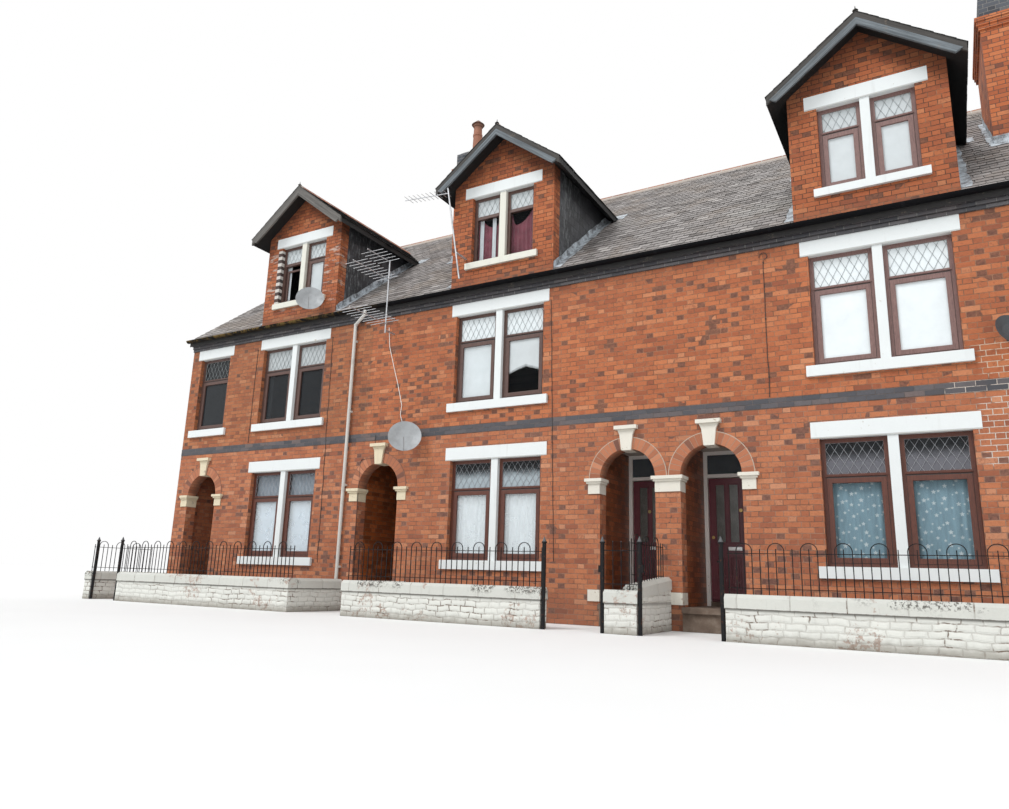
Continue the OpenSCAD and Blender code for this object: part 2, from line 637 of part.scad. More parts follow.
module porch_steps() color([0.50, 0.44, 0.38]) place() {
 for (x = xp) {
  box([x-arch_r, -step_out+step_nose, 0], [x+arch_r, wall_t, step_h-step_slab]);
  box([x-arch_r, -step_out, step_h-step_slab], [x+arch_r, wall_t, step_h]);
  box([max(x-porch_half, xl+wall_t), wall_t, 0], [x+porch_half, porch_d+frame_d, step_h]);
  box([x-door_w/2-door_gap, porch_d, step_h], [x+door_w/2+door_gap, porch_d+frame_d, floor_z]);
 }
}

// Rainwater
module gutter_run(y) {
 zc = roof_z - eave_out*tr - 25;
 translate([xl-verge, y, zc]) rotate([0, 90, 0]) difference() {
  cylinder(h = xr-xl+2*verge, r = gutter_r, $fn = 32);
  translate([0, 0, 6]) cylinder(h = xr-xl+2*verge-12, r = gutter_r-6, $fn = 32);
  translate([-2*gutter_r, -2*gutter_r, -e]) cube([2*gutter_r, 4*gutter_r, xr-xl+2*verge+1]);
 }
}
module gutters() color([0.08, 0.08, 0.09]) place() {
 gutter_run(-eave_out-gutter_r);
 gutter_run(house_d+eave_out+gutter_r);
}
module bend(a, b) {
 d = b - a;
 len = norm(d);
 translate(a) sphere(r = pipe_r+6, $fn = 24);
 translate(b) sphere(r = pipe_r+6, $fn = 24);
 translate(a) rotate([0, acos(d[2]/len), atan2(d[1], d[0])]) cylinder(h = len, r = pipe_r, $fn = 24);
}
module rain_pipes() color([0.62, 0.58, 0.50]) place() {
 zc = roof_z - eave_out*tr - 25 - gutter_r - 4;
 px = xpass - pass_r - 340;
 py = -pipe_r - 26;
 neck_z = eaves_z - 60;
 translate([px, py, 0]) cylinder(h = neck_z, r = pipe_r, $fn = 24);
 for (z = [800, 2400, 3900, 5400]) box([px-45, -pipe_r-20, z], [px+45, 0, z+40]);
 bend([px, py, neck_z], [px+330, -eave_out-gutter_r, neck_z+150]);
 translate([px+330, -eave_out-gutter_r, neck_z+150]) cylinder(h = zc+4-clear-neck_z-150, r = pipe_r, $fn = 24);
 for (x = [xl+900, xr-900]) {
  translate([x, house_d+pipe_r+26, 0]) cylinder(h = zc-60, r = pipe_r, $fn = 24);
  for (z = [800, 3000, 5400]) box([x-45, house_d, z], [x+45, house_d+pipe_r+20, z+40]);
 }
}

// Chimneys
stack_xs = [xr-stack_w-60, -house_w+905-stack_w];
belt_z = stack_z - 550;
module around(x0, out, z0, z1) box([x0-out, stack_y-out, z0], [x0+stack_w+out, stack_y+stack_l+out, z1]);
module dentils(x0, z0, z1) {
 n = 4;
 m = 7;
 for (i = [0:n-1]) translate([x0-50+i*(stack_w+100-120)/(n-1), stack_y-50, z0])
  cube([120, stack_l+100, z1-z0]);
 for (i = [0:m-1]) translate([x0-50, stack_y-50+i*(stack_l+100-120)/(m-1), z0])
  cube([stack_w+100, 120, z1-z0]);
}
module stack(x0) difference() {
 union() {
  around(x0, 0, roof_z, belt_z);
  around(x0, 30, belt_z-75, belt_z);
  dentils(x0, belt_z, belt_z+75);
  around(x0, 70, belt_z+75, belt_z+150);
  around(x0, -15, belt_z, stack_z);
 }
 under_roof();
}
module chimney_stacks() color([0.72, 0.36, 0.22]) place() for (x0 = stack_xs) stack(x0);
module chimney_pots() color([0.68, 0.36, 0.26]) place() for (x0 = stack_xs) for (i = [0:2])
 translate([x0+stack_w/2, stack_y+stack_l*(2*i+1)/6, stack_z]) {
  difference() {
   union() {
    cylinder(h = pot_h, r1 = pot_r, r2 = pot_r*0.8, $fn = 32);
    translate([0, 0, pot_h*0.62]) cylinder(h = 45, r = pot_r*0.96, $fn = 32);
    translate([0, 0, pot_h-60]) cylinder(h = 60, r = pot_r*0.98, $fn = 32);
   }
   translate([0, 0, 60]) cylinder(h = pot_h, r = pot_r*0.62, $fn = 32);
  }
  if (i == 0 && x0 < 0) translate([0, 0, pot_h-1]) cylinder(h = 110, r1 = pot_r*1.3, r2 = pot_r*0.35, $fn = 32);
 }

// Front walls and railings
module wall_run(x0, x1) box([x0, -yard_d+12, 0], [x1, -yard_d+gwall_t-12, gwall_h-coping_h]);
module cross_wall(x0, x1) box([x0+12, -yard_d+gwall_t-12, 0], [x1-12, -25, gwall_h-coping_h]);
runs = [[side_x+gwall_t/2+900, xpass-pass_r-120], [xpass+pass_r+120, gate_x[0]-post_r], [gate_x[3]+post_r, xr]];
// Top of the dividing wall, just under its rising coping
function divide_under(y) = gwall_h - coping_h + divide_lift + (y+yard_d-gwall_t/2)*tan(divide_a) - clear;
module front_walls() color([0.88, 0.87, 0.84]) place() {
 for (r = runs) box([r[0]+12, -yard_d+12, 0], [r[1]-(r[1] == xr ? 0 : 12), -yard_d+gwall_t-12, gwall_h-coping_h]);
 box([div_x[0]+12, -yard_d+12, 0], [div_x[1]-12, -yard_d+gwall_t-12, gwall_h-coping_h]);
 alongx(div_x[1]-gwall_t+12, div_x[1]-12)
  polygon([[-yard_d+20, 0], [-22-clear, 0], [-22-clear, divide_under(-22)],
   [-yard_d+gwall_t+clear, divide_under(gwall_t-yard_d)],
   [-yard_d+gwall_t+clear, gwall_h-coping_h], [-yard_d+20, gwall_h-coping_h]]);
 for (x = [runs[0][1]-gwall_t, runs[1][0], xr-gwall_t])
  box([x+12, -yard_d+20, 0], [x+gwall_t-(x == xr-gwall_t ? 0 : 12), x < xpass-pass_r ? -pipe_room : 0,
   gwall_h-coping_h]);
 box([side_x-gwall_t/2+12, -yard_d+12, 0], [side_x+gwall_t/2-12, 100, gwall_h-coping_h]);
 box([side_x, -100, 0], [xl, 100, gwall_h-coping_h]);
}
module coping_profile() polygon([[0, 0], [gwall_t, 0], [gwall_t, coping_h-45], [gwall_t-45, coping_h],
 [45, coping_h], [0, coping_h-45]]);
module copings() color([0.88, 0.87, 0.84]) place() translate([0, 0, gwall_h-coping_h]) {
 for (r = runs) alongx(r[0], r[1]) translate([-yard_d, 0]) coping_profile();
 for (x = [runs[0][1]-gwall_t, runs[1][0], xr-gwall_t])
  alongy(-yard_d+gwall_t/2, x < xpass-pass_r ? -pipe_room : 0) translate([x, 0]) coping_profile();
 alongy(-yard_d, 100) translate([side_x-gwall_t/2, 0]) coping_profile();
 alongx(side_x, xl) translate([-100, 0]) coping_profile();
 alongx(div_x[0], div_x[1]) translate([-yard_d, 0]) coping_profile();
 difference() {
  translate([div_x[1]-gwall_t, -yard_d+gwall_t/2, divide_lift]) rotate([divide_a, 0, 0])
   alongy(0, yard_d) coping_profile();
  box([div_x[0]-e, -clear, -500], [div_x[1]+e, 900, 1500]);
 }
}
// Railing panel along X from 0 to len, with bars at even distances that stand on a coping.
// The lift raises the rails, and the slope is that of the coping under the bars
module panel(len, lift = 0, foot = gwall_h, slope = 0) {
 n = floor((len-2*rod)/bar_step);
 s = (len-2*rod)/n;
 for (z = [rail_top, rail_low]) box([0, -rod/2, z+lift-10], [len, rod/2, z+lift]);
 for (i = [0:n]) {
  leg = i % 4 == 3 || (i % 4 == 1 && i+2 <= n);
  top = lift + (leg ? hoop_top-s+4 : rail_top+55);
  z0 = foot + (rod+i*s+rod*0.6)*slope + clear;
  translate([rod+i*s, 0, z0]) rotate([0, 0, 45]) cylinder(h = top-z0, r = rod*0.6, $fn = 4);
  if (i % 4 == 1 && i+2 <= n) translate([rod+(i+1)*s, 0, lift+hoop_top-s]) rotate([90, 0, 0])
   rotate_extrude(angle = 180, $fn = 24) translate([s, 0]) square([rod*0.85, rod*0.85], center = true);
 }
}
// Short railing on the front end of the dividing wall, between two posts
module end_railing() translate([0, -yard_d+60, 0]) {
 aside = -yard_d+60-post_y-rod/2;
 reach = post_r - sqrt(post_r*post_r-aside*aside) - clear;
 for (z = [rail_top+20, rail_low]) box([div_x[0]-reach, -rod/2, z-10], [div_x[1]+reach, rod/2, z]);
 for (i = [1:3]) translate([div_x[0]+i*divide_w/4, 0, gwall_h+clear]) rotate([0, 0, 45])
  cylinder(h = hoop_top+20-gwall_h, r = rod*0.6, $fn = 4);
}
module railings() color([0.10, 0.10, 0.11]) place() {
 y = -yard_d + gwall_t/2;
 for (r = runs) translate([r[0]+panel_end, y, 0]) panel(r[1]-r[0]-2*panel_end);
 translate([side_x, -yard_d+60, 0]) rotate([0, 0, 90]) panel(yard_d-100);
 translate([div_x[1]-gwall_t/2, y, 0]) rotate([0, 0, 90])
  panel(yard_d-gwall_t/2-40, divide_lift+max(0, divide_rise-68),
   gwall_h-coping_h+divide_lift+coping_h/cos(divide_a), tan(divide_a));
 end_railing();
}
module gate_post(x) translate([x, post_y, 0]) {
 cylinder(h = post_h-95, r = post_r, $fn = 24);
 translate([0, 0, post_h-95]) cylinder(h = 22, r = post_r*1.35, $fn = 24);
 translate([0, 0, post_h-73]) cylinder(h = 73, r1 = post_r*1.1, r2 = 3, $fn = 24);
}
post_xs = concat(gate_x, [side_x+gwall_t/2+post_r, runs[0][0]-post_r]);
// What the missing leaves left on the posts: two latch boxes and a hinge lug
module gate_posts() color([0.09, 0.09, 0.10]) place() {
 for (x = post_xs) gate_post(x);
 box([gate_x[1]-post_r-26, post_y-18, 815], [gate_x[1], post_y+18, 910]);
 box([gate_x[2], post_y-18, 822], [gate_x[2]+post_r+26, post_y+18, 928]);
 box([gate_x[3]-post_r-24, post_y-9, 976], [gate_x[3], post_y+9, 994]);
}

// Dishes and aerials
module dish(x, y, z, r, turn) translate([x, y, z]) {
 translate([0, 0, -14]) rotate([-90, 0, 0]) cylinder(h = -y, r = 16, $fn = 16);
 rotate([0, 0, turn]) rotate([72, 0, 0]) {
  translate([0, 0, -70]) cylinder(h = 80, r = 22, $fn = 16);
  rotate_extrude($fn = 40) polygon([[0, 0], [r*0.5, 18], [r, 70], [r, 78], [r*0.5, 30], [0, 14]]);
  translate([0, -r*0.93, 68]) rotate([-28, 0, 0]) cylinder(h = r*0.95, r = 9, $fn = 12);
 }
}
module satellite_dishes() color([0.62, 0.64, 0.66]) place() {
 dish(xs[0]+dorm_w/2-470, -300, dwin_z-210, dish_r*0.9, 40);
 dish(xpass+825, -300, band_z-60, dish_r*0.95, 35);
 dish(xs[2]+1445, -300, win1_z+90, dish_r*0.68, 35);
}
// Aerial: boom along X of length len, n rods across it of length w
module yagi(len, n, w, s) {
 rotate([0, 90, 0]) cylinder(h = len, r = 9, $fn = 10);
 for (i = [0:n-1]) translate([40+i*s, -w/2, 4]) rotate([-90, 0, 0]) cylinder(h = w, r = 5, $fn = 8);
}
mast_x = xpass + 165;
module aerials() color([0.66, 0.67, 0.68]) place() {
 translate([mast_x, -290, eaves_z-440]) cylinder(h = 1550, r = 16, $fn = 12);
 for (z = [eaves_z-400, eaves_z-90]) box([mast_x-16, -290, z], [mast_x+16, 0, z+30]);
 translate([mast_x, -290, eaves_z-240]) rotate([0, 0, -90]) yagi(1080, 9, 720, 118);
 translate([mast_x, -290, eaves_z+700]) rotate([0, 0, -90]) yagi(1080, 9, 560, 118);
 translate([mast_x, -290, eaves_z+1080]) rotate([0, 0, -90]) yagi(700, 5, 560, 130);
 mx = xs[1] - 692;
 my = -dorm_out - barge_t - 25;
 mz = roof_z + 10;
 lean = 10.5;
 translate([mx, my, mz]) rotate([0, -lean, 0]) cylinder(h = 2005, r = 16, $fn = 12);
 dz = 535;
 box([mx-dz*tan(lean)-20, my, mz+dz], [mx-dz*tan(lean)+20, 0, mz+dz+30]);
 translate([mx-1860*tan(lean), my, mz+1860]) rotate([0, -5.2, 180]) yagi(1080, 10, 300, 105);
}

wall_piers();
arch_walls();
wall_panels();
band_course();
eaves_course();
end_walls();
inner_walls();
porch_heads();
ground_floors();
upper_floors();
lintels();
sills();
mullions();
arch_rings();
arch_stones();
roof_front();
roof_upper();
roof_rear();
ridge_tiles();
dormer_piers();
dormer_panels();
dormer_cheeks();
dormer_roof_left();
dormer_roof_right();
bargeboards();
window_frames();
window_glass();
curtains();
door_frames();
fixed_doors();
middle_door();
right_door();
porch_steps();
gutters();
rain_pipes();
chimney_stacks();
chimney_pots();
front_walls();
copings();
railings();
gate_posts();
satellite_dishes();
aerials();
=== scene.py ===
import math
import random
from contextlib import contextmanager

import bpy
import numpy as np
from mathutils import Matrix, Vector


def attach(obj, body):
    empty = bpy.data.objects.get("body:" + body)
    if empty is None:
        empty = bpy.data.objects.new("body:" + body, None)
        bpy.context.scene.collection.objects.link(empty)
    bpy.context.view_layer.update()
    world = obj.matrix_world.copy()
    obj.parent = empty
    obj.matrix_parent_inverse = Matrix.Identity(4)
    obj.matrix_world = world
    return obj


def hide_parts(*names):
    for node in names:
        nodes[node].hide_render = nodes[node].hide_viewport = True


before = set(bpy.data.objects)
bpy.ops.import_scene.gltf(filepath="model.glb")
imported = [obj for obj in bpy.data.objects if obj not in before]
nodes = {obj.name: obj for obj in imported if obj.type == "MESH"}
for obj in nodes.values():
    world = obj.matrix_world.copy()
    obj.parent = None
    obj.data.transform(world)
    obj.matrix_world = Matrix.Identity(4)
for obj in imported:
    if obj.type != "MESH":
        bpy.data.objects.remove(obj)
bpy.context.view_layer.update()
dice = random.Random(11)

# Everything is set out in metres from the party line of the two right houses and the front face
PARTY = Vector((3.335, -4.2595, 0.0))
HOUSE = 5.825
LEFT_END = -11.86
DEPTH = 9.8
WINDOWS_X = (-8.455, -3.195, 3.195)
DOORS_X = (-10.975, -0.675, 0.675)
PASSAGE_X = -5.825
NARROW_X = -11.03
WIN_W = 1.89
DORMER_WIN_W = 1.365
MULLION_W = 0.135
SINGLE_W = 1.01
# Sill top and height of the windows on each storey
GROUND = (0.985, 1.8)
FIRST = (3.866, 1.734)
DORMER = (6.65, 1.39)
TRANSOM = 0.7
REVEAL = 0.095
BAR = 0.062
FLOOR = 0.42
PORCH_D = 1.35
FRAME_D = 0.09
DOOR_W = 0.826
DOOR_H = 2.04
DOOR_T = 0.044
SPRING = 2.34
ROOF_Z = 6.2
PITCH = math.radians(39)
DORMER_W = 2.23
DORMER_TOP = 9.31
DORMER_PITCH = math.radians(37.5)
DORMER_OUT = 0.3
DORMER_HALF = DORMER_W / 2 + 0.255
REAR_X = (-10.2, -7.6, -1.45, -4.05, 1.45, 4.05)
# The band course lies between these heights, and the dormers begin above the last
BAND = (3.2, 3.5)
ATTIC = 6.3


def at(x, y, z):
    return PARTY + Vector((x, y, z))


def roof_at(y):
    return ROOF_Z + y * math.tan(PITCH)


# Camera where the photographer stood
def set_camera():
    yaw = math.radians(-30.5124)
    pitch = math.radians(12.9207)
    roll = math.radians(1.7745)
    ahead = Vector((math.sin(yaw) * math.cos(pitch), math.cos(yaw) * math.cos(pitch), math.sin(pitch)))
    level = Vector((math.cos(yaw), -math.sin(yaw), 0))
    up = level.cross(ahead)
    right = math.cos(roll) * level + math.sin(roll) * up
    top = math.cos(roll) * up - math.sin(roll) * level
    lens = bpy.data.cameras.new("camera")
    lens.sensor_width = 36
    lens.lens = 758.8985 / 1009 * 36
    lens.clip_start = 0.1
    lens.clip_end = 600
    eye = bpy.data.objects.new("camera", lens)
    bpy.context.scene.collection.objects.link(eye)
    turn = Matrix((right, top, -ahead)).transposed().to_4x4()
    eye.matrix_world = Matrix.Translation(at(3.7806, -11.5259, 0.6872)) @ turn
    bpy.context.scene.camera = eye


set_camera()


class Value:
    """A value in a finish, on which plain arithmetic adds Math nodes"""

    def __init__(self, finish, socket):
        self.finish = finish
        self.socket = socket

    def out(self, name):
        return Value(self.finish, self.socket.node.outputs[name])

    def work(self, kind, *others):
        return self.finish.add("Math", {"operation": kind}, (self, *others))

    def __add__(self, other):
        return self.work("ADD", other)

    __radd__ = __add__

    def __sub__(self, other):
        return self.work("SUBTRACT", other)

    def __rsub__(self, other):
        return self.finish.add("Math", {"operation": "SUBTRACT"}, (other, self))

    def __mul__(self, other):
        return self.work("MULTIPLY", other)

    __rmul__ = __mul__

    def __truediv__(self, other):
        return self.work("DIVIDE", other)

    def __gt__(self, other):
        return self.work("GREATER_THAN", other)

    def __lt__(self, other):
        return self.work("LESS_THAN", other)

    def __abs__(self):
        return self.work("ABSOLUTE")

    def least(self, other):
        return self.work("MINIMUM", other)

    def most(self, other):
        return self.work("MAXIMUM", other)

    def floor(self):
        return self.work("FLOOR")

    def part(self):
        return self.work("FRACT")

    def sine(self):
        return self.work("SINE")

    def inset(self):
        """How far a value between 0 and 1 is from the nearer end"""
        return self.least(1 - self)


class Tree:
    """Nodes wired up by value"""

    def __init__(self, tree):
        self.tree = tree
        tree.nodes.clear()

    def add(self, kind, settings, values, out=0):
        made = self.tree.nodes.new("ShaderNode" + kind)
        for key, setting in settings.items():
            if key == "stops":
                self.set_stops(made, setting)
            else:
                setattr(made, key, setting)
        given = values.items() if isinstance(values, dict) else enumerate(values)
        for key, value in given:
            if isinstance(value, Value):
                self.tree.links.new(value.socket, made.inputs[key])
            elif value is not None:
                made.inputs[key].default_value = value
        return Value(self, made.outputs[out]) if made.outputs else None

    def set_stops(self, made, stops):
        ramp = made.color_ramp
        while len(ramp.elements) < len(stops):
            ramp.elements.new(0.5)
        for element, (position, colour) in zip(ramp.elements, stops):
            element.position = position
            element.color = (*colour, 1)


class Finish(Tree):
    """One material, laid on by nodes"""

    def __init__(self, name):
        self.material = bpy.data.materials.new(name)
        self.material.use_nodes = True
        super().__init__(self.material.node_tree)
        self.place = self.add("TexCoord", {}, (), "Object")
        self.x, self.y, self.z = self.parts(self.place)
        self.nx, self.ny, self.nz = self.parts(self.place.out("Normal"))

    def parts(self, spot):
        apart = self.add("SeparateXYZ", {}, (spot,), "X")
        return apart, apart.out("Y"), apart.out("Z")

    def right_of(self, x):
        return self.x > at(x, 0, 0).x

    def left_of(self, x):
        return self.x < at(x, 0, 0).x

    def off(self, x):
        """Distance from a place along the front"""
        return abs(self.x - at(x, 0, 0).x)

    def before(self, y):
        return self.y < at(0, y, 0).y

    def ramp(self, value, stops):
        return self.add("ValToRGB", {"stops": stops}, (value,), "Color")

    def mix(self, first, second, share, way="MIX"):
        first = (*first, 1) if isinstance(first, tuple) else first
        second = (*second, 1) if isinstance(second, tuple) else second
        settings = {"data_type": "RGBA", "blend_type": way}
        return self.add("Mix", settings, {0: share, 6: first, 7: second}, 2)

    def shade(self, colour, amount):
        """The colour times a grey amount"""
        grey = self.add("CombineColor", {}, (amount, amount, amount))
        return self.mix(colour, grey, 1.0, "MULTIPLY")

    def tint(self, colour, tone, share):
        """The colour times another, over a share of the surface"""
        return self.mix(colour, self.mix(colour, tone, 1.0, "MULTIPLY"), share)

    def cloud(self, scale, detail=3.0, rough=0.55, at=None, stretch=None):
        spot = at or self.place
        if stretch:
            spot = self.add("VectorMath", {"operation": "MULTIPLY"}, (spot, stretch))
        values = {"Vector": spot, "Scale": scale, "Detail": detail, "Roughness": rough}
        return self.add("TexNoise", {"noise_dimensions": "3D"}, values, 0)

    def chance(self, a, b, c=0.0):
        spot = self.add("CombineXYZ", {}, (a, b, c))
        return self.add("TexWhiteNoise", {"noise_dimensions": "3D"}, {"Vector": spot}, "Value")

    def ease(self, value, low, high):
        settings = {"interpolation_type": "SMOOTHSTEP", "clamp": True}
        return self.add("MapRange", settings, {0: value, 1: low, 2: high, 3: 0.0, 4: 1.0})

    def patch(self, low, high, *cloud, **more):
        """One in the patches of a cloud that lie above two edges, nothing below them"""
        return self.ease(self.cloud(*cloud, **more), low, high)

    def seam(self, along, pitch, low, high):
        """One at the joints of a run of pieces, each a pitch long"""
        return 1 - self.ease((along / pitch).part().inset() * pitch, low, high)

    def wall_plane(self):
        """How far along and up a wall a point is, whichever way the wall faces"""
        side = abs(self.nx) > 0.7
        flat = abs(self.nz) > 0.7
        along = self.x + (self.y - self.x) * side
        up = self.z + (self.y - self.z) * flat
        return along, up

    def finish(self, colour, roughness, height=None, depth=0.003, **others):
        values = {"Base Color": colour, "Roughness": roughness}
        values.update({key.replace("_", " "): value for key, value in others.items()})
        if height is not None:
            values["Normal"] = self.add("Bump", {}, {"Strength": 1.0, "Distance": depth, "Height": height})
        self.add("OutputMaterial", {}, {"Surface": self.add("BsdfPrincipled", {}, values)})
        return self.material


def bond(
    f, along, up, course=0.08, repeat=0.348, share=0.672, joint=0.010, base=0.0, lap=0.5, wander=0.0
):
    """Bricks in courses, stretcher and header in turn: in a face or not, two chances, header or not"""
    if wander:
        along = along + (f.cloud(5.0, 2) - 0.5) * wander
        up = up + (f.cloud(3.5, 2, stretch=(1, 1, 0.3)) - 0.5) * wander
    rows = (up - base) / course
    row = rows.floor()
    low = rows.part()
    run = along / repeat + (row * lap).part()
    cell = run.floor()
    across = run.part()
    header = across > share
    side = across.inset().least(abs(across - share)) * repeat
    bed = low.inset() * course
    ragged = (f.cloud(38, 3, 0.7) - 0.5) * 0.010
    face = f.ease(side.least(bed) + ragged, joint * 0.30, joint * 0.68)
    tone = f.chance(cell * 2 + header, row, 3.0)
    odd = f.chance(cell * 2 + header, row, 17.0)
    return face, tone, odd, header


BRICK_TONES = [
    (0.0, (0.270, 0.086, 0.045)),
    (0.14, (0.375, 0.118, 0.052)),
    (0.55, (0.440, 0.145, 0.062)),
    (0.90, (0.495, 0.180, 0.080)),
    (1.0, (0.54, 0.235, 0.125)),
]
BURNT = (0.082, 0.041, 0.034)
MORTAR = (0.29, 0.155, 0.100)
LIME = (0.60, 0.52, 0.45)


def within(f, x0, x1, z0, z1, soft=0.05, stray=0.3):
    """One inside a stretch of wall, easing off at its ragged edges"""
    low, high = at(x0, 0, z0), at(x1, 0, z1)
    off = (f.cloud(5, 3) - 0.5) * stray if stray else 0.0
    side = f.ease((f.x - low.x).least(high.x - f.x) + off, -soft, soft)
    return side * f.ease((f.z - low.z).least(high.z - f.z) + off, -soft, soft)


def brickwork(
    name, tones=BRICK_TONES, mortar=MORTAR, grime=0.35, gloss=0.86, burnt=0.0, patches=(), bed_shadows=None, **laid
):
    f = Finish(name)
    along, up = f.wall_plane()
    face, tone, odd, header = bond(f, along, up, **laid)
    grain = f.cloud(130, 3, 0.7)
    pits = f.patch(0.62, 0.72, 60, 2)
    broad = f.cloud(0.55, 4, 0.6)
    streak = f.cloud(1.0, 3, 0.5, stretch=(5.5, 5.5, 0.8))
    mottle = f.cloud(24, 6, 0.78)
    brick = f.shade(f.ramp(tone, tones), 0.66 + grain * 0.34 + broad * 0.30 + (mottle - 0.5) * 1.1)
    darker = f.ease(mottle + (odd - 0.5) * 0.16, 0.52, 0.66) * 0.70
    brick = f.mix(brick, f.shade(tones[0][1], 0.6 + grain * 0.5), darker)
    if burnt:
        # Some headers are burnt dark, more of them in some stretches of wall
        many = f.patch(0.44, 0.62, 0.8, 3)
        dark = header * (odd < many * 0.34 + 0.10) + (1 - header) * (odd < many * 0.05 + 0.012)
        scorch = f.mix(BURNT, (0.20, 0.095, 0.068), f.ease(mottle, 0.35, 0.65))
        brick = f.mix(brick, f.shade(scorch, 0.6 + grain * 0.7), dark * burnt)
    smoky = f.patch(0.5, 0.72, 2.3, 3) * 0.34
    brick = f.mix(brick, (0.17, 0.080, 0.055), smoky * pits.most(0.35))
    clean = f.patch(0.38, 0.62, 4, 4, 0.7)
    joints = f.mix(f.shade(mortar, 0.45 + grain * 0.2), f.shade(mortar, 1.0 + grain * 0.35), clean)
    if burnt:
        joints = f.mix(joints, (0.060, 0.034, 0.026), (f.z > ATTIC) * f.patch(0.36, 0.50, 5, 3) * 0.85)
    # Bed joints painted near black where given: painted shadow lines under each stepped course
    if bed_shadows:
        low = ((up - laid["base"]) / laid["course"]).part()
        joints = f.mix(joints, bed_shadows, 1 - f.ease(low.inset() * laid["course"], 0.004, 0.008))
    for patch in patches:
        joints = f.mix(joints, LIME, within(f, *patch) * f.patch(0.32, 0.45, 9, 3))
    colour = f.mix(joints, brick, face)
    if burnt:
        # Redder and cleaner over the band course, duller on the dormers, with painted shade and soot under
        # their roofs
        above = f.ease(f.z, BAND[0], BAND[1] + 0.1)
        colour = f.tint(colour, (1.0, 0.91, 0.80), above)
        drop = 9.0 + f.x * 0
        for x in WINDOWS_X:
            away = f.off(x)
            drop = drop.least(DORMER_TOP - away * math.tan(DORMER_PITCH) - f.z + (away > 1.3) * 9)
        # Painted shade, with some soot, below each dormer's verge
        shadow = (1 - f.ease(drop + (broad - 0.5) * 0.3, 0.26, 0.66)) * (f.z > ATTIC) * f.before(0.3)
        richer = f.mix(f.shade(colour, 0.90 - shadow * 0.40), (1.0, 0.92, 0.82), 1.0, "MULTIPLY")
        colour = f.mix(colour, richer, f.z > ATTIC)
        colour = f.tint(colour, (1.0, 1.02, 1.04), f.z < 2.9)
        dull = above * (f.z < ATTIC) * f.left_of(-6.2)
        colour = f.tint(colour, (0.84, 0.91, 0.93), dull)
    # Soot gathers under the eaves and along the foot of the walls
    high = f.ease(f.z, 5.3, 6.1) * (1 - f.ease(f.z, 6.2, 6.5))
    foot = 1 - f.ease(f.z, 0.1, 0.75)
    dirt = (high * 0.55 + foot * 0.8 + f.ease(streak, 0.55, 0.8) * 0.35) * grime
    colour = f.mix(colour, (0.085, 0.062, 0.050), dirt.least(0.7))
    if burnt:
        # White runs down the left dormer's piers, and black and white teeth beside its window
        runs = f.patch(0.53, 0.64, 1.6, 4, 0.7, stretch=(1.6, 1.6, 7))
        lime = within(f, -9.6, -7.3, 6.5, 7.9, 0.1) * runs
        colour = f.mix(colour, LIME, lime * 0.6)
        jamb = WINDOWS_X[0] - DORMER_WIN_W / 2
        teeth = within(f, jamb - 0.115, jamb + 0.3, 6.66, 7.98, 0.002, 0)
        pale = ((up / 0.16).part() > 0.5) * 0.55
        tooth = f.mix((0.03, 0.03, 0.032), (0.62, 0.60, 0.56), pale + pale * 0.8)
        colour = f.mix(colour, tooth, teeth * 0.9)
    height = face * 0.75 + grain * 0.22 - pits * face * 0.2
    return f.finish(colour, gloss - face * 0.06 + grain * 0.08, height, 0.0045)


# Stretches of wall pointed afresh: left, right, foot and top of each
POINTED = ((4.22, 6.4, 2.32, 3.25), (4.26, 6.4, 3.50, 3.98))
RED_BRICK = brickwork("red_brick", burnt=0.85, patches=POINTED)
DARK_BRICK = brickwork(
    "dark_brick",
    [
        (0.0, (0.14, 0.036, 0.010)),
        (0.4, (0.27, 0.067, 0.016)),
        (0.8, (0.36, 0.094, 0.022)),
        (1.0, (0.41, 0.12, 0.036)),
    ],
    (0.15, 0.076, 0.034),
    grime=0.3,
    gloss=0.38,
)
# Dark courses of headers alone
HEADERS = dict(repeat=0.24, share=0.9999)
BLUE_BRICK = brickwork(
    "blue_brick",
    [
        (0.0, (0.045, 0.046, 0.055)),
        (0.5, (0.068, 0.065, 0.074)),
        (0.85, (0.098, 0.086, 0.090)),
        (1.0, (0.145, 0.105, 0.095)),
    ],
    (0.110, 0.090, 0.082),
    grime=0.2,
    gloss=0.5,
    patches=((3.9, 6.4, *BAND),),
    course=0.076,
    base=3.285,
    joint=0.008,
    **HEADERS,
)
EAVES_BRICK = brickwork(
    "eaves_brick",
    [(0.0, (0.040, 0.042, 0.050)), (0.6, (0.075, 0.073, 0.080)), (1.0, (0.125, 0.118, 0.122))],
    (0.26, 0.25, 0.24),
    grime=0.15,
    gloss=0.48,
    # Bed joints painted near black, as painted shadow under each stepped course
    bed_shadows=(0.012, 0.012, 0.013),
    course=0.06,
    base=5.84,
    joint=0.009,
    **HEADERS,
)


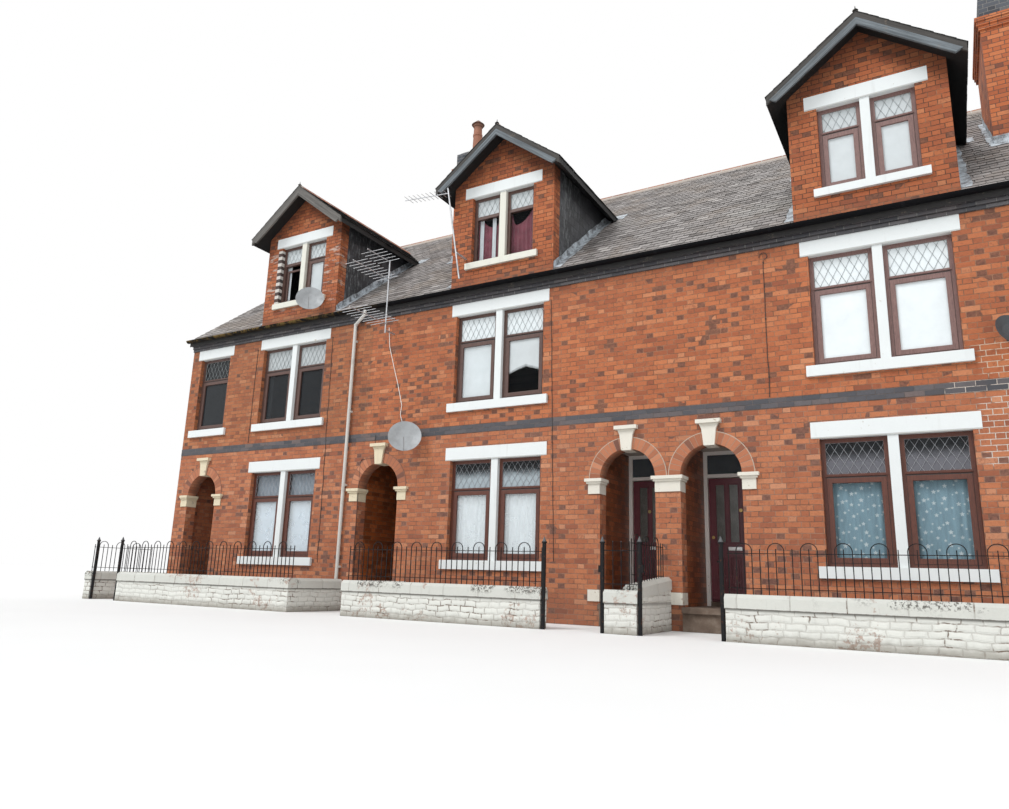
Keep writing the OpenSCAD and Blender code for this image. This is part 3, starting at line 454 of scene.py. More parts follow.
def arch_brick():
    """Orange voussoirs that turn about the four arch centres"""
    f = Finish("arch_brick")
    centres = [PARTY.x + x for x in (DOORS_X[0], PASSAGE_X, DOORS_X[1], DOORS_X[2])]
    middle = centres[0] + f.x * 0
    wide = (f.x > (centres[0] + centres[1]) / 2) * (f.x < (centres[1] + centres[2]) / 2)
    for left, right in zip(centres, centres[1:]):
        middle = middle + (f.x > (left + right) / 2) * (right - left)
    dx = f.x - middle
    dz = f.z - SPRING
    angle = dz.work("ARCTAN2", dx)
    radius = (dx * dx + dz * dz).work("SQRT")
    count = 21
    run = angle / (math.pi / count)
    soffit = (abs(f.ny) < 0.5) * (radius < 0.58)
    deep = (f.y / 0.225 + run.floor() * 0.5).part()
    side = run.part().inset() * (math.pi / count) * 0.56
    bed = (deep.inset() * 0.225) * soffit + (1 - soffit)
    ragged = (f.cloud(38, 2) - 0.5) * 0.004
    face = f.ease(side.least(bed) + ragged, 0.0025, 0.0065)
    edge = f.ease(radius - wide * 0.025, 0.648, 0.656)
    tone = f.chance(run.floor(), middle * 7.0, (f.y / 0.225).floor() * soffit)
    tones = [(0.0, (0.13, 0.06, 0.045)), (0.1, (0.33, 0.12, 0.062))]
    tones += [(0.6, (0.44, 0.16, 0.08)), (1.0, (0.52, 0.22, 0.12))]
    grain = f.cloud(130, 3, 0.7)
    brick = f.shade(f.ramp(tone, tones), 0.75 + grain * 0.45)
    pale = f.mix((0.36, 0.22, 0.15), (0.48, 0.38, 0.30), edge)
    pointed = f.mix((0.24, 0.115, 0.075), pale, f.right_of(-2.5))
    joints = f.shade(pointed, 0.8 + f.cloud(22, 3) * 0.4)
    colour = f.mix(joints, brick, face * (1 - edge))
    # Painted shade: the arch soffits darken towards the inside of the porch
    inside = soffit * f.ease(f.y, at(0, 0.02, 0).y, at(0, 0.2, 0).y)
    colour = f.mix(colour, (0.10, 0.05, 0.03), inside * 0.6)
    return f.finish(colour, 0.85, face * 0.75 + grain * 0.25, 0.0045)


def painted(name, colour, under, wear, dirt, edges=(), creamy=False):
    """Paint on stone, worn through in patches, with dirt where rain runs, painted shade on faces that look
    down and painted shadow lines along the given lower edges
    """
    f = Finish(name)
    fine = f.cloud(70, 4, 0.65)
    broad = f.cloud(2.2, 4, 0.6)
    run = f.cloud(1.6, 3, 0.6, stretch=(7, 7, 0.7))
    paint = f.shade(colour, 0.93 + fine * 0.09 + broad * 0.06)
    aged = (f.z > ATTIC) * f.left_of(0) * (f.z < 8.03)
    paint = f.tint(paint, (0.95, 0.90, 0.80), aged)
    if creamy:
        paint = f.tint(paint, (0.98, 0.90, 0.74), f.left_of(-3))
    flaked = f.ease(f.cloud(13, 5, 0.7) + broad * 0.35, 0.86 - wear * 0.2, 0.92 - wear * 0.2)
    paint = f.mix(paint, f.shade(under, 0.8 + fine * 0.4), flaked)
    # Painted shade on faces that look down
    below = 1 - f.ease(f.nz, -0.9, -0.3)
    stain_and_shade = (f.ease(run, 0.56, 0.78) * 0.5 + below * 0.5) * dirt
    paint = f.mix(paint, (0.24, 0.21, 0.17), stain_and_shade.least(0.8))
    height = fine * 0.35 - flaked * 0.8
    # Painted shadow lines along the given lower edges, standing in for the shade of the lintels' chamfers
    for low in edges:
        line = (f.z > low - 0.001) * (1 - f.ease(f.z, low + 0.014, low + 0.024))
        paint = f.mix(paint, (0.30, 0.29, 0.26), line * (f.nz > -0.5) * 0.6)
    return f.finish(paint, 0.55 + fine * 0.2, height, 0.0025)


# Heights of the lintel feet, where painted shadow lines run
LINTEL_FEET = tuple(sill + height for sill, height in (GROUND, FIRST, DORMER))
WHITE_STONE = painted("white_stone", (0.735, 0.765, 0.76), (0.52, 0.47, 0.39), 0.05, 0.22, LINTEL_FEET)
CREAM_STONE = painted("cream_stone", (0.71, 0.675, 0.59), (0.45, 0.38, 0.29), 0.35, 0.4, creamy=True)


def painted_brick(name, coping):
    """White paint on the front walls and their copings, cracked at joints and worn pinkish brown, with
    painted shadow under the copings
    """
    f = Finish(name)
    along, up = f.wall_plane()
    fine = f.cloud(60, 4, 0.7)
    lump = f.cloud(10, 3, 0.6)
    if coping:
        run = (along - at(2.0, 0, 0).x) / 0.64 + (f.cloud(7, 2) - 0.5) * 0.02
        seam = run.part()
        face = f.ease(seam.inset() * 0.64, 0.003, 0.011)
        swell = f.ease(seam.inset() * 0.64, 0.0, 0.05)
        tone = f.chance(run.floor(), 1.0, 2.0)
    else:
        laid = dict(course=0.086, repeat=0.43, share=0.53, lap=0.37, wander=0.10)
        face, tone = bond(f, along, up, joint=0.015, **laid)[:2]
        swell = bond(f, along, up, joint=0.042, **laid)[0]
    base = (0.600, 0.602, 0.555) if coping else (0.70, 0.70, 0.65)
    white = f.shade(base, 0.84 + fine * 0.14 + tone * 0.07 + lump * 0.08)
    under = f.mix((0.34, 0.20, 0.15), (0.50, 0.42, 0.36), f.cloud(9, 3))
    patchy = f.patch(0.48, 0.62, 0.9, 3, 0.55)
    flaked = f.ease(f.cloud(15, 5, 0.72) + patchy * 0.19 + tone * 0.05, 0.69, 0.77)
    colour = f.mix(white, f.shade(under, 0.75 + fine * 0.5), flaked * 0.85)
    crack = f.patch(0.46, 0.62, 2.6, 3, 0.6) * f.patch(0.36, 0.54, 17, 2)
    colour = f.mix(colour, (0.16, 0.115, 0.085), (1 - face) * (crack * 0.78 + 0.22))
    foot = 1 - f.ease(f.z + lump * 0.10, 0.06, 0.22)
    run_down = f.patch(0.60, 0.76, 1.6, 3, 0.6, stretch=(9, 9, 0.8))
    colour = f.mix(colour, (0.16, 0.13, 0.095), (foot * 0.6 + run_down * 0.14).least(0.75))
    if coping:
        grown = f.patch(0.52, 0.60, 0.95, 3) * f.patch(0.47, 0.56, 34, 4, 0.7)
        stone = within(f, 3.15, 3.95, 0.40, 0.66, 0.04, 0.5) * f.patch(0.50, 0.58, 26, 4, 0.75)
        grown = grown.most(stone)
        upper = f.ease(f.z, 0.455, 0.52)
        colour = f.mix(colour, (0.050, 0.043, 0.032), grown * (upper * 0.75 + 0.1))
        # Painted shadow along the lower edge of the coping
        lip_shadow = f.ease(f.cloud(6, 4, 0.7) * 0.022 + 0.402 - f.z, 0.0, 0.004) * (f.z < 0.43)
        colour = f.mix(colour, (0.06, 0.05, 0.038), lip_shadow * 0.85)
    else:
        # Painted shadow on the wall just under the coping's overhang
        coping_shadow = f.ease(f.z, 0.36, 0.40) * (f.z < 0.42)
        colour = f.mix(colour, (0.06, 0.05, 0.038), coping_shadow * 0.55)
    height = face * 0.4 + swell * 0.5 + lump * 0.7 + fine * 0.3 - flaked * 0.25
    return f.finish(colour, 0.66 + fine * 0.15, height, 0.008)


WALL_PAINT = painted_brick("wall_paint", False)
COPING_PAINT = painted_brick("coping_paint", True)


def slates(name, stops, under):
    """Worn slates, each with its own tone, and near-black painted shade where the roof is seen from below"""
    f = Finish(name)
    tone = f.add("Attribute", {"attribute_name": "tone"}, (), "Fac")
    fine = f.cloud(70, 4, 0.7)
    streak = f.cloud(9, 3, 0.6)
    colour = f.shade(f.ramp(tone, stops), 0.62 + fine * 0.4 + streak * 0.36)
    brown = f.patch(0.46, 0.66, 1.1, 4, 0.6)
    colour = f.mix(colour, (0.25, 0.19, 0.14), brown * 0.42)
    pale = f.patch(0.54, 0.70, 0.8, 4, 0.62)
    colour = f.mix(colour, (0.40, 0.385, 0.36), pale * 0.42)
    lichen = f.patch(0.64, 0.72, 26, 3, 0.6)
    colour = f.mix(colour, (0.36, 0.35, 0.28), lichen * 0.5)
    # Painted shade: faces that do not look up take the dark underside colour
    colour = f.mix(f.shade(under, 0.6 + fine * 0.8), colour, f.ease(f.nz, 0.15, 0.45))
    return f.finish(colour, 0.55 + fine * 0.25, fine * 0.7 + streak * 0.5, 0.004)


SLATE_TONES = [(0.0, (0.105, 0.090, 0.084)), (0.35, (0.200, 0.180, 0.170))]
SLATE_TONES += [(0.7, (0.285, 0.260, 0.248)), (1.0, (0.40, 0.37, 0.35))]
SLATE = slates("slate", SLATE_TONES, (0.012, 0.011, 0.010))
# The dormer soffits are painted near black as shade
DORMER_SLATE = slates("dormer_slate", SLATE_TONES, (0.004, 0.004, 0.004))


def ridge_clay():
    f = Finish("ridge_clay")
    main = f.y > at(0, 4.7, 0).y
    along = f.y + (f.x - f.y) * main
    tile = 0.455
    seam = f.seam(along, tile, 0.007, 0.013)
    tone = f.chance((along / tile).floor(), main, 4.0)
    fine = f.cloud(80, 4, 0.7)
    stops = [(0.0, (0.22, 0.085, 0.055)), (0.6, (0.34, 0.135, 0.08)), (1.0, (0.40, 0.19, 0.12))]
    colour = f.shade(f.ramp(tone, stops), 0.75 + fine * 0.5)
    lichen = f.patch(0.54, 0.68, 17, 4, 0.65)
    colour = f.mix(colour, (0.29, 0.27, 0.21), lichen * 0.55)
    apex = roof_at(DEPTH / 2)
    bedded = (1 - f.ease(f.z + (f.cloud(9, 4, 0.7) - 0.5) * 0.05, apex - 0.028, apex - 0.016)) * main
    colour = f.mix(colour, (0.47, 0.44, 0.39), seam.most(bedded * 0.8))
    return f.finish(colour, 0.8, fine * 0.4 + seam * 0.6, 0.004)


def pot_clay():
    f = Finish("pot_clay")
    fine = f.cloud(55, 4, 0.7)
    soot = f.ease(f.z + f.cloud(3, 3) * 0.25, 11.35, 11.62)
    clay = f.ramp(f.cloud(4, 3), [(0.3, (0.27, 0.105, 0.062)), (0.7, (0.36, 0.155, 0.095))])
    colour = f.shade(clay, 0.8 + fine * 0.35)
    colour = f.mix(colour, (0.06, 0.05, 0.045), soot * 0.7)
    return f.finish(colour, 0.75, fine, 0.002)


def chimney_brick():
    """Red brick below the corbels, blue-grey bricks above"""
    f = Finish("chimney_brick")
    along, up = f.wall_plane()
    face, tone = bond(f, along, up)[:2]
    grain = f.cloud(130, 3, 0.7)
    reds = [(0.0, (0.15, 0.055, 0.035)), (0.15, (0.40, 0.105, 0.038))]
    reds += [(0.7, (0.52, 0.145, 0.048)), (1.0, (0.58, 0.20, 0.080))]
    red = f.ramp(tone, reds)
    greys = [(0.0, (0.050, 0.058, 0.070)), (0.6, (0.090, 0.100, 0.118)), (1.0, (0.135, 0.135, 0.135))]
    grey = f.ramp(tone, greys)
    upper = f.z > 10.2
    smoke = f.patch(0.45, 0.75, 1.8, 4) * 0.5
    brick = f.mix(red, grey, upper)
    brick = f.mix(f.shade(brick, 0.75 + grain * 0.45), (0.07, 0.05, 0.045), smoke)
    joints = f.mix((0.12, 0.066, 0.045), (0.22, 0.21, 0.20), upper)
    colour = f.mix(f.shade(joints, 0.75 + f.cloud(22, 3) * 0.45), brick, face)
    return f.finish(colour, 0.85, face * 0.75 + grain * 0.25, 0.0045)


def tar():
    """Dark felt and tarred slates on the dormer cheeks, laid in courses, with painted shadow under each
    course's edge
    """
    f = Finish("tarred_slate")
    rows = f.z / 0.19
    low = rows.part()
    run = f.y / 0.27 + (rows.floor() * 0.5).part()
    tone = f.chance(run.floor(), rows.floor(), 2.0)
    gap = 1 - f.ease(run.part().inset() * 0.27, 0.002, 0.006)
    tail = f.ease(low, 0.94, 0.98)
    fine = f.cloud(50, 4, 0.7)
    patch = f.patch(0.5, 0.68, 3.5, 4, 0.65)
    black = f.ramp(tone, [(0.0, (0.018, 0.019, 0.022)), (1.0, (0.045, 0.046, 0.052))])
    colour = f.shade(black, 0.7 + fine * 0.6)
    colour = f.mix(colour, (0.10, 0.105, 0.115), patch * 0.45)
    # Dark joints between the slates, and a painted shadow along the top of each course under the edge of the
    # course above
    colour = f.mix(colour, (0.008, 0.008, 0.009), gap.most(tail) * 0.8)
    near = 1 - f.ease(f.y - (f.z - 6.9) * 0.35 + f.cloud(2, 3) * 0.8, at(0, 0.7, 0).y, at(0, 1.7, 0).y)
    drips = f.patch(0.50, 0.62, 2.0, 5, 0.75, stretch=(9, 9, 2.2))
    colour = f.mix(colour, (0.30, 0.32, 0.32), drips * near * 0.42)
    return f.finish(colour, 0.42 + fine * 0.3, (1 - low) * 0.8 - gap * 0.5 + fine * 0.3, 0.007)


def boards(name, dark, pale, gloss=0.7, sloped=False):
    """Weathered paint on boards, with the grain showing through"""
    f = Finish(name)
    grain = f.cloud(9, 5, 0.7, stretch=(1.5, 6, 6))
    if sloped:
        away = 30.0 + f.x * 0
        for x in WINDOWS_X:
            away = away.least(f.off(x))
        across = f.z + away * math.tan(DORMER_PITCH)
        spot = f.add("CombineXYZ", {}, (f.x, f.y * 3, across * 16))
        grain = f.cloud(1.7, 5, 0.75, at=spot)
    fine = f.cloud(80, 3, 0.7)
    colour = f.ramp(grain, [(0.3, dark), (0.66, pale)])
    if sloped:
        # Both boards of the left dormer are bare grey brown wood
        bleached = f.ramp(grain, [(0.3, (0.042, 0.039, 0.035)), (0.66, (0.175, 0.163, 0.150))])
        colour = f.mix(colour, bleached, f.left_of(-6))
    bare = f.patch(0.58, 0.68, 5, 5, 0.75)
    colour = f.mix(f.shade(colour, 0.8 + fine * 0.35), (0.22, 0.17, 0.13), bare * 0.35)
    return f.finish(colour, gloss + fine * 0.15, grain * 0.6 + fine * 0.3 - bare * 0.3, 0.003)


GREY_BOARD = boards("grey_board", (0.018, 0.017, 0.016), (0.070, 0.064, 0.058), sloped=True)
DARK_BOARD = boards("dark_board", (0.014, 0.013, 0.013), (0.030, 0.028, 0.027))
BLUE_BOARD = boards("blue_board", (0.045, 0.052, 0.058), (0.185, 0.212, 0.230), sloped=True)


def floor_wood():
    f = Finish("floor_wood")
    board = 0.14
    row = (f.y / board).floor()
    gap = f.seam(f.y, board, 0.001, 0.004)
    tone = f.chance(row, (f.x / 2.4 + f.chance(row, 1.0)).floor(), 1.0)
    grain = f.cloud(12, 4, 0.7, stretch=(0.4, 6, 6))
    wood = f.ramp(tone, [(0.0, (0.22, 0.13, 0.07)), (1.0, (0.34, 0.22, 0.13))])
    colour = f.shade(wood, 0.7 + grain * 0.6)
    colour = f.mix(colour, (0.03, 0.02, 0.015), gap * 0.8)
    return f.finish(colour, 0.62, grain * 0.4 - gap, 0.003)


def frame_paint():
    """Mahogany stain: red brown at the ground, darker above on the left, faded mauve above on the right"""
    f = Finish("frame_brown")
    grain = f.cloud(16, 4, 0.65, stretch=(6, 6, 0.8))
    fine = f.cloud(120, 2)
    ground = f.ramp(grain, [(0.3, (0.060, 0.018, 0.010)), (0.7, (0.135, 0.038, 0.021))])
    above = f.ramp(grain, [(0.3, (0.060, 0.030, 0.024)), (0.7, (0.125, 0.066, 0.052))])
    faded = f.ramp(grain, [(0.3, (0.135, 0.072, 0.064)), (0.7, (0.235, 0.135, 0.120))])
    high = f.z > BAND[1]
    colour = f.mix(f.mix(ground, above, high), faded, high * f.right_of(1.5))
    colour = f.shade(colour, 0.85 + fine * 0.3)
    return f.finish(colour, 0.38 + grain * 0.15, grain * 0.5 + fine * 0.2, 0.0012)


FRAME_BROWN = frame_paint()


def pane_glass():
    """Window glass: clear over the curtains, with painted reflections: pale where the sky would show in it,
    dark where the houses opposite would
    """
    f = Finish("window_glass")
    wave = f.cloud(1.5, 2)
    smear = f.cloud(5, 3, 0.6)
    front = f.before(1)
    ground = (f.z < BAND[0]) * front
    first = (f.z > BAND[1]) * (f.z < 6.0) * front
    dormer = f.z > ATTIC
    top = f.x * 0
    for storey, (sill, height) in ((ground, GROUND), (first, FIRST), (dormer, DORMER)):
        top = top + storey * (f.z > sill + height * TRANSOM)
    low = 1 - top
    right = f.right_of(1.5)
    middle = f.left_of(-1.5) * f.right_of(-5.0)
    left = f.left_of(-6.5)
    narrow = f.left_of(-9.9)
    second_light = f.right_of(WINDOWS_X[1])
    # Painted reflection: the roof across the street stands dark against the sky in one pane
    peak = f.off(-2.66) * 0.33
    half = f.ease(f.z + peak + (smear - 0.5) * 0.04, 4.46, 4.53)
    # Share of each pane covered by the painted reflection of the sky
    sky = right * (first * 0.96 + dormer * (top * 0.78 + low * 0.86))
    sky = sky + middle * (first * top * 0.86 + dormer * top * 0.74 + first * low * (1 - second_light) * 0.45)
    sky = sky + middle * first * low * second_light * half * 0.94
    ajar = left * dormer * low * f.left_of(WINDOWS_X[0])
    sky = sky + left * (first * top * (1 - narrow) * 0.80 + dormer * (top * 0.66 + low * 0.58)) - ajar * 0.10
    sky = sky + ground * low * (middle * 0.20 + left * 0.22)
    # How bright the painted sky reflection is in each pane
    level = 1 - right * dormer * 0.16 - middle * first * low * second_light * 0.26 - middle * dormer * 0.16
    level = level - left * first * 0.45 - ajar * 0.76 - left * dormer * (1 - ajar) * 0.10
    # A painted reflection low in the ground floor top lights
    reflected_haze = ground * top * (1 - f.ease(f.z + (smear - 0.5) * 0.15, 2.42, 2.62)) * (1 - left)
    # The pale painted reflection of the sky
    shine = f.shade((0.86, 0.915, 0.93), (0.90 + smear * 0.14) * level)
    # Dark painted reflection, lighter on the rear panes
    dark_reflection = f.mix((0.115, 0.135, 0.15), (0.022, 0.025, 0.028), front)
    colour = f.mix(f.shade(dark_reflection, 0.8 + smear * 0.4), shine, sky > 0.02)
    colour = f.mix(colour, f.mix((0.52, 0.60, 0.64), (0.25, 0.25, 0.28), right), reflected_haze * 0.75)
    # How opaque the dark painted reflections make the glass
    dark = (ground * top * (1 - left * 0.8)).most(reflected_haze) * 0.55 + reflected_haze * middle * 0.22
    dark = dark + ajar * 0.30 + left * first * (0.55 + narrow * 0.25) + (1 - front) * 0.66
    alpha = (sky * 0.86 + dark + 0.08 + smear * 0.04).least(0.98)
    return f.finish(colour, 0.03 + smear * 0.05, wave, 0.01, Alpha=alpha, Specular_IOR_Level=0.22)


def net_cloth(name, colour, dots, weave):
    """Net curtain: fine open weave, thicker in its folds, with painted shade along the folds and scattered
    daisies
    """
    f = Finish(name)
    uv = f.add("TexCoord", {}, (), "UV")
    u, v = f.parts(uv)[:2]
    thread = ((u * 2600).sine() * 0.5 + (v * 2600).sine() * 0.5) * 0.10
    fold = f.cloud(7, 3, 0.6, at=uv, stretch=(3, 0.4, 1))
    # Painted shade and light along the folds
    cloth = f.shade(colour, 0.66 + fold * 0.60)
    cover = weave + fold * 0.12
    if dots:
        pitch, drop = 0.139, 0.160
        for size, shift in ((0.029, 0.0), (0.017, 0.47)):
            columns = u / pitch + shift
            rows = v / drop + (columns.floor() * 0.5).part() + shift
            cell = (columns.floor(), rows.floor())
            du = (columns.part() - 0.5) * pitch + (f.chance(*cell, shift) - 0.5) * pitch * 0.42
            dv = (rows.part() - 0.5) * drop + (f.chance(*cell, shift + 5) - 0.5) * drop * 0.42
            away = (du * du + dv * dv).work("SQRT")
            grown = f.chance(*cell, shift + 9) * 0.5 + 0.62
            petal = ((dv.work("ARCTAN2", du) * 5).sine() * 0.26 + 0.74) * size * grown
            flower = f.ease(petal - away, -0.008, 0.008)
            cloth = f.mix(cloth, (0.74, 0.83, 0.85), flower * dots)
            cover = cover + flower * 0.12
    alpha = (cover + thread).least(1.0)
    return f.finish(cloth, 0.85, thread * 2, 0.0006, Alpha=alpha, Sheen_Weight=0.15)


NET_BLUE = net_cloth("net_blue", (0.27, 0.43, 0.51), 0.85, 0.90)
NET_WHITE = net_cloth("net_white", (0.84, 0.90, 0.93), 0.0, 0.92)
NET_PALE = net_cloth("net_pale", (0.68, 0.79, 0.90), 0.3, 0.93)


def drape_cloth():
    f = Finish("red_drape")
    uv = f.add("TexCoord", {}, (), "UV")
    u, v = f.parts(uv)[:2]
    thread = (u * 2200).sine() * (v * 2200).sine()
    fold = f.cloud(4, 3, 0.6, at=uv)
    # Painted shade and light along the folds, dark red to lighter red
    colour = f.ramp(fold, [(0.3, (0.15, 0.032, 0.052)), (0.7, (0.35, 0.095, 0.130))])
    return f.finish(f.shade(colour, 0.9 + thread * 0.1), 0.85, thread, 0.0006, Sheen_Weight=0.3)


RED_DRAPE = drape_cloth()


def gloss_paint(name, dark, pale, gloss, wear):
    """Gloss paint, scuffed towards the foot of a door"""
    f = Finish(name)
    fine = f.cloud(90, 3, 0.6)
    broad = f.cloud(3, 3)
    colour = f.ramp(broad, [(0.3, dark), (0.7, pale)])
    scuff = f.patch(0.60, 0.66, 24, 5, 0.75) * (1 - f.ease(f.z, 0.9, 1.4)) * wear
    colour = f.mix(f.shade(colour, 0.9 + fine * 0.2), (0.30, 0.25, 0.22), scuff)
    return f.finish(colour, gloss + fine * 0.12, fine * 0.5 + broad * 0.3, 0.0012)


MAROON = gloss_paint("maroon_paint", (0.115, 0.022, 0.034), (0.165, 0.034, 0.048), 0.30, 0.5)
PALE_FRAME = gloss_paint("pale_paint", (0.86, 0.84, 0.80), (0.93, 0.91, 0.87), 0.42, 0.5)
PLASTER = gloss_paint("ceiling_paint", (0.40, 0.37, 0.33), (0.52, 0.49, 0.45), 0.75, 0.0)


def step_stone():
    f = Finish("step_stone")
    fine = f.cloud(75, 4, 0.7)
    stops = [(0.3, (0.085, 0.056, 0.040)), (0.55, (0.16, 0.115, 0.085)), (0.75, (0.24, 0.19, 0.15))]
    colour = f.ramp(f.cloud(4.5, 4, 0.6), stops)
    worn = f.ease(f.nz, 0.5, 0.9) * f.patch(0.4, 0.7, 3, 3)
    colour = f.mix(f.shade(colour, 0.75 + fine * 0.5), (0.33, 0.27, 0.22), worn * 0.35)
    return f.finish(colour, 0.8, fine * 0.6 + f.cloud(14, 3) * 0.4, 0.004)


def gutter_paint():
    """Black gutter, mossy and orange brown towards the left end"""
    f = Finish("gutter_black")
    fine = f.cloud(60, 4, 0.7)
    joint = f.seam(f.x + 0.4, 1.83, 0.02, 0.03)
    left = 1 - f.ease(f.x, at(-8.2, 0, 0).x, at(-5.6, 0, 0).x)
    moss = f.patch(0.42, 0.58, 7, 5, 0.7) * left * f.ease(f.z, 6.0, 6.07)
    colour = f.shade((0.004, 0.004, 0.005), 0.7 + fine * 0.7 + joint * 0.8)
    colour = f.mix(colour, f.mix((0.20, 0.105, 0.035), (0.10, 0.09, 0.03), f.cloud(15, 3)), moss)
    gloss = 0.55 + fine * 0.25 + moss * 0.2
    return f.finish(colour, gloss, fine * 0.3 + joint, 0.003, Specular_IOR_Level=0.08)


def pipe_paint():
    f = Finish("pipe_grey")
    fine = f.cloud(60, 4, 0.7)
    rust = f.patch(0.56, 0.66, 8, 5, 0.75, stretch=(1, 1, 0.35))
    colour = f.shade((0.60, 0.58, 0.54), 0.8 + fine * 0.3)
    colour = f.mix(colour, (0.21, 0.125, 0.085), rust * 0.22)
    return f.finish(colour, 0.5 + rust * 0.3, fine * 0.4 - rust * 0.4, 0.002)


def iron():
    f = Finish("black_iron")
    fine = f.cloud(110, 4, 0.7)
    rust = f.patch(0.576, 0.662, 21, 5, 0.75)
    cap = f.ease(f.z, 1.232, 1.24) * (1 - f.ease(f.z, 1.4, 1.5)) * f.before(-1.4)
    black = f.shade((0.009, 0.009, 0.010), 0.75 + fine * 0.6)
    colour = f.mix(black, (0.14, 0.055, 0.028), rust * 0.7)
    colour = f.mix(colour, (0.14, 0.145, 0.15), cap * 0.8)
    return f.finish(colour, 0.48 + rust * 0.4, fine * 0.5 + rust * 0.5, 0.0012, Specular_IOR_Level=0.18)


def metal(name, colour, gloss, shine, dark=None):
    """Dulled metal, with another colour on what is fixed at the right end"""
    f = Finish(name)
    fine = f.cloud(140, 3, 0.7)
    dull = f.patch(0.4, 0.7, 6, 4, 0.65)
    shade = f.mix(f.shade(colour, 0.85 + fine * 0.25), (0.20, 0.20, 0.20), dull * 0.35)
    if dark:
        shade = f.mix(shade, f.shade(dark, 0.8 + fine * 0.4), f.right_of(4.0))
    return f.finish(shade, gloss + dull * 0.25, fine, 0.0008, Metallic=shine)


DISH_GREY = metal("dish_grey", (0.355, 0.37, 0.38), 0.42, 0.0, (0.045, 0.05, 0.056))
AERIAL_METAL = metal("aerial_metal", (0.55, 0.56, 0.58), 0.35, 0.7)


def lead(name, dark, pale, low=None):
    """Lead: bloomed white in patches on the roof, or bright at the ground and dull above in the windows"""
    f = Finish(name)
    fine = f.cloud(90, 4, 0.7)
    bloom = f.patch(0.36, 0.60, 7, 5, 0.72)
    colour = f.mix(f.shade(dark, 0.7 + fine * 0.6), f.shade(pale, 0.85 + fine * 0.25), bloom)
    if low:
        colour = f.mix(colour, f.shade(low, 0.8 + fine * 0.4), f.z < BAND[0])
    return f.finish(colour, 0.5 + bloom * 0.2, fine * 0.6 + bloom * 0.3, 0.002)


LEAD = lead("lead_sheet", (0.13, 0.135, 0.145), (0.55, 0.60, 0.64))
LEAD_CAME = lead("lead_came", (0.29, 0.32, 0.32), (0.40, 0.43, 0.43), (0.40, 0.41, 0.43))
MORTAR_GREY = boards("mortar_grey", (0.26, 0.255, 0.245), (0.46, 0.45, 0.43), 0.8)
STEEL = metal("bright_steel", (0.62, 0.62, 0.62), 0.28, 0.9)
BRASS = metal("aged_brass", (0.50, 0.34, 0.13), 0.33, 0.9)


def frosted():
    """Frosted panes with a hammered surface"""
    f = Finish("frosted_pane")
    hammer = f.add("TexVoronoi", {"feature": "SMOOTH_F1"}, {"Vector": f.place, "Scale": 85.0}, "Distance")
    broad = f.cloud(4, 3)
    colour = f.ramp(broad, [(0.3, (0.060, 0.062, 0.054)), (0.7, (0.12, 0.125, 0.11))])
    return f.finish(f.shade(colour, 0.8 + hammer * 0.5), 0.22, hammer, 0.002, Specular_IOR_Level=0.8)


FROSTED = frosted()


def rubber():
    f = Finish("cable_black")
    fine = f.cloud(200, 3)
    return f.finish(f.shade((0.022, 0.020, 0.020), 0.7 + fine * 0.7), 0.55, fine, 0.0006)


CABLE = rubber()

FINISHES = {
    RED_BRICK: ["wall_piers", "arch_walls", "wall_panels", "end_walls", "dormer_piers", "dormer_panels"],
    DARK_BRICK: ["inner_walls"],
    arch_brick(): ["arch_rings"],
    chimney_brick(): ["chimney_stacks"],
    BLUE_BRICK: ["band_course"],
    EAVES_BRICK: ["eaves_course"],
    WHITE_STONE: ["lintels", "sills", "mullions"],
    CREAM_STONE: ["arch_stones"],
    PLASTER: ["porch_heads"],
    floor_wood(): ["ground_floors", "upper_floors"],
    SLATE: ["roof_front", "roof_upper", "roof_rear"],
    DORMER_SLATE: ["dormer_roof_left", "dormer_roof_right"],
    ridge_clay(): ["ridge_tiles"],
    pot_clay(): ["chimney_pots"],
    tar(): ["dormer_cheeks"],
    GREY_BOARD: ["bargeboards"],
    FRAME_BROWN: ["window_frames"],
    pane_glass(): ["window_glass"],
    PALE_FRAME: ["door_frames"],
    MAROON: ["fixed_doors", "middle_door", "right_door"],
    step_stone(): ["porch_steps"],
    gutter_paint(): ["gutters"],
    pipe_paint(): ["rain_pipes"],
    WALL_PAINT: ["front_walls"],
    COPING_PAINT: ["copings"],
    iron(): ["railings", "gate_posts"],
    DISH_GREY: ["satellite_dishes"],
    AERIAL_METAL: ["aerials"],
}
for finish, named in FINISHES.items():
    for name in named:
        for slot in nodes[name].material_slots:
            slot.material = finish


# Modelling helpers
def choose(*parts):
    """Selects these parts alone, the first of them active"""
    bpy.ops.object.select_all(action="DESELECT")
    for part in parts:
        part.select_set(True)
    if parts:
        bpy.context.view_layer.objects.active = parts[0]


def settle(made):
    """Puts a piece's place, turn and size into its mesh"""
    choose(made)
    bpy.ops.object.transform_apply(location=True, rotation=True, scale=True)
    return made


@contextmanager
def editing(kind="VERT", choice="SELECT"):
    """Edit mode for some steps, with everything or nothing chosen at first"""
    bpy.ops.object.mode_set(mode="EDIT")
    bpy.ops.mesh.select_mode(type=kind)
    bpy.ops.mesh.select_all(action=choice)
    yield
    bpy.ops.object.mode_set(mode="OBJECT")


@contextmanager
def editing_chosen(kind, items, wanted):
    """Edit mode with the faces or edges chosen that pass a test"""
    with editing(kind, "DESELECT"):
        pass
    for item in items:
        item.select = wanted(item)
    bpy.ops.object.mode_set(mode="EDIT")
    yield
    bpy.ops.object.mode_set(mode="OBJECT")


def block(low, high, ease=0.0, steps=1):
    """A block between two corners, its edges eased"""
    choose()
    low, high = Vector(low), Vector(high)
    bpy.ops.mesh.primitive_cube_add(size=1, location=(low + high) / 2)
    made = bpy.context.object
    made.scale = high - low
    settle(made)
    if ease:
        with editing():
            bpy.ops.mesh.bevel(offset=ease, segments=steps, affect="EDGES")
    return made


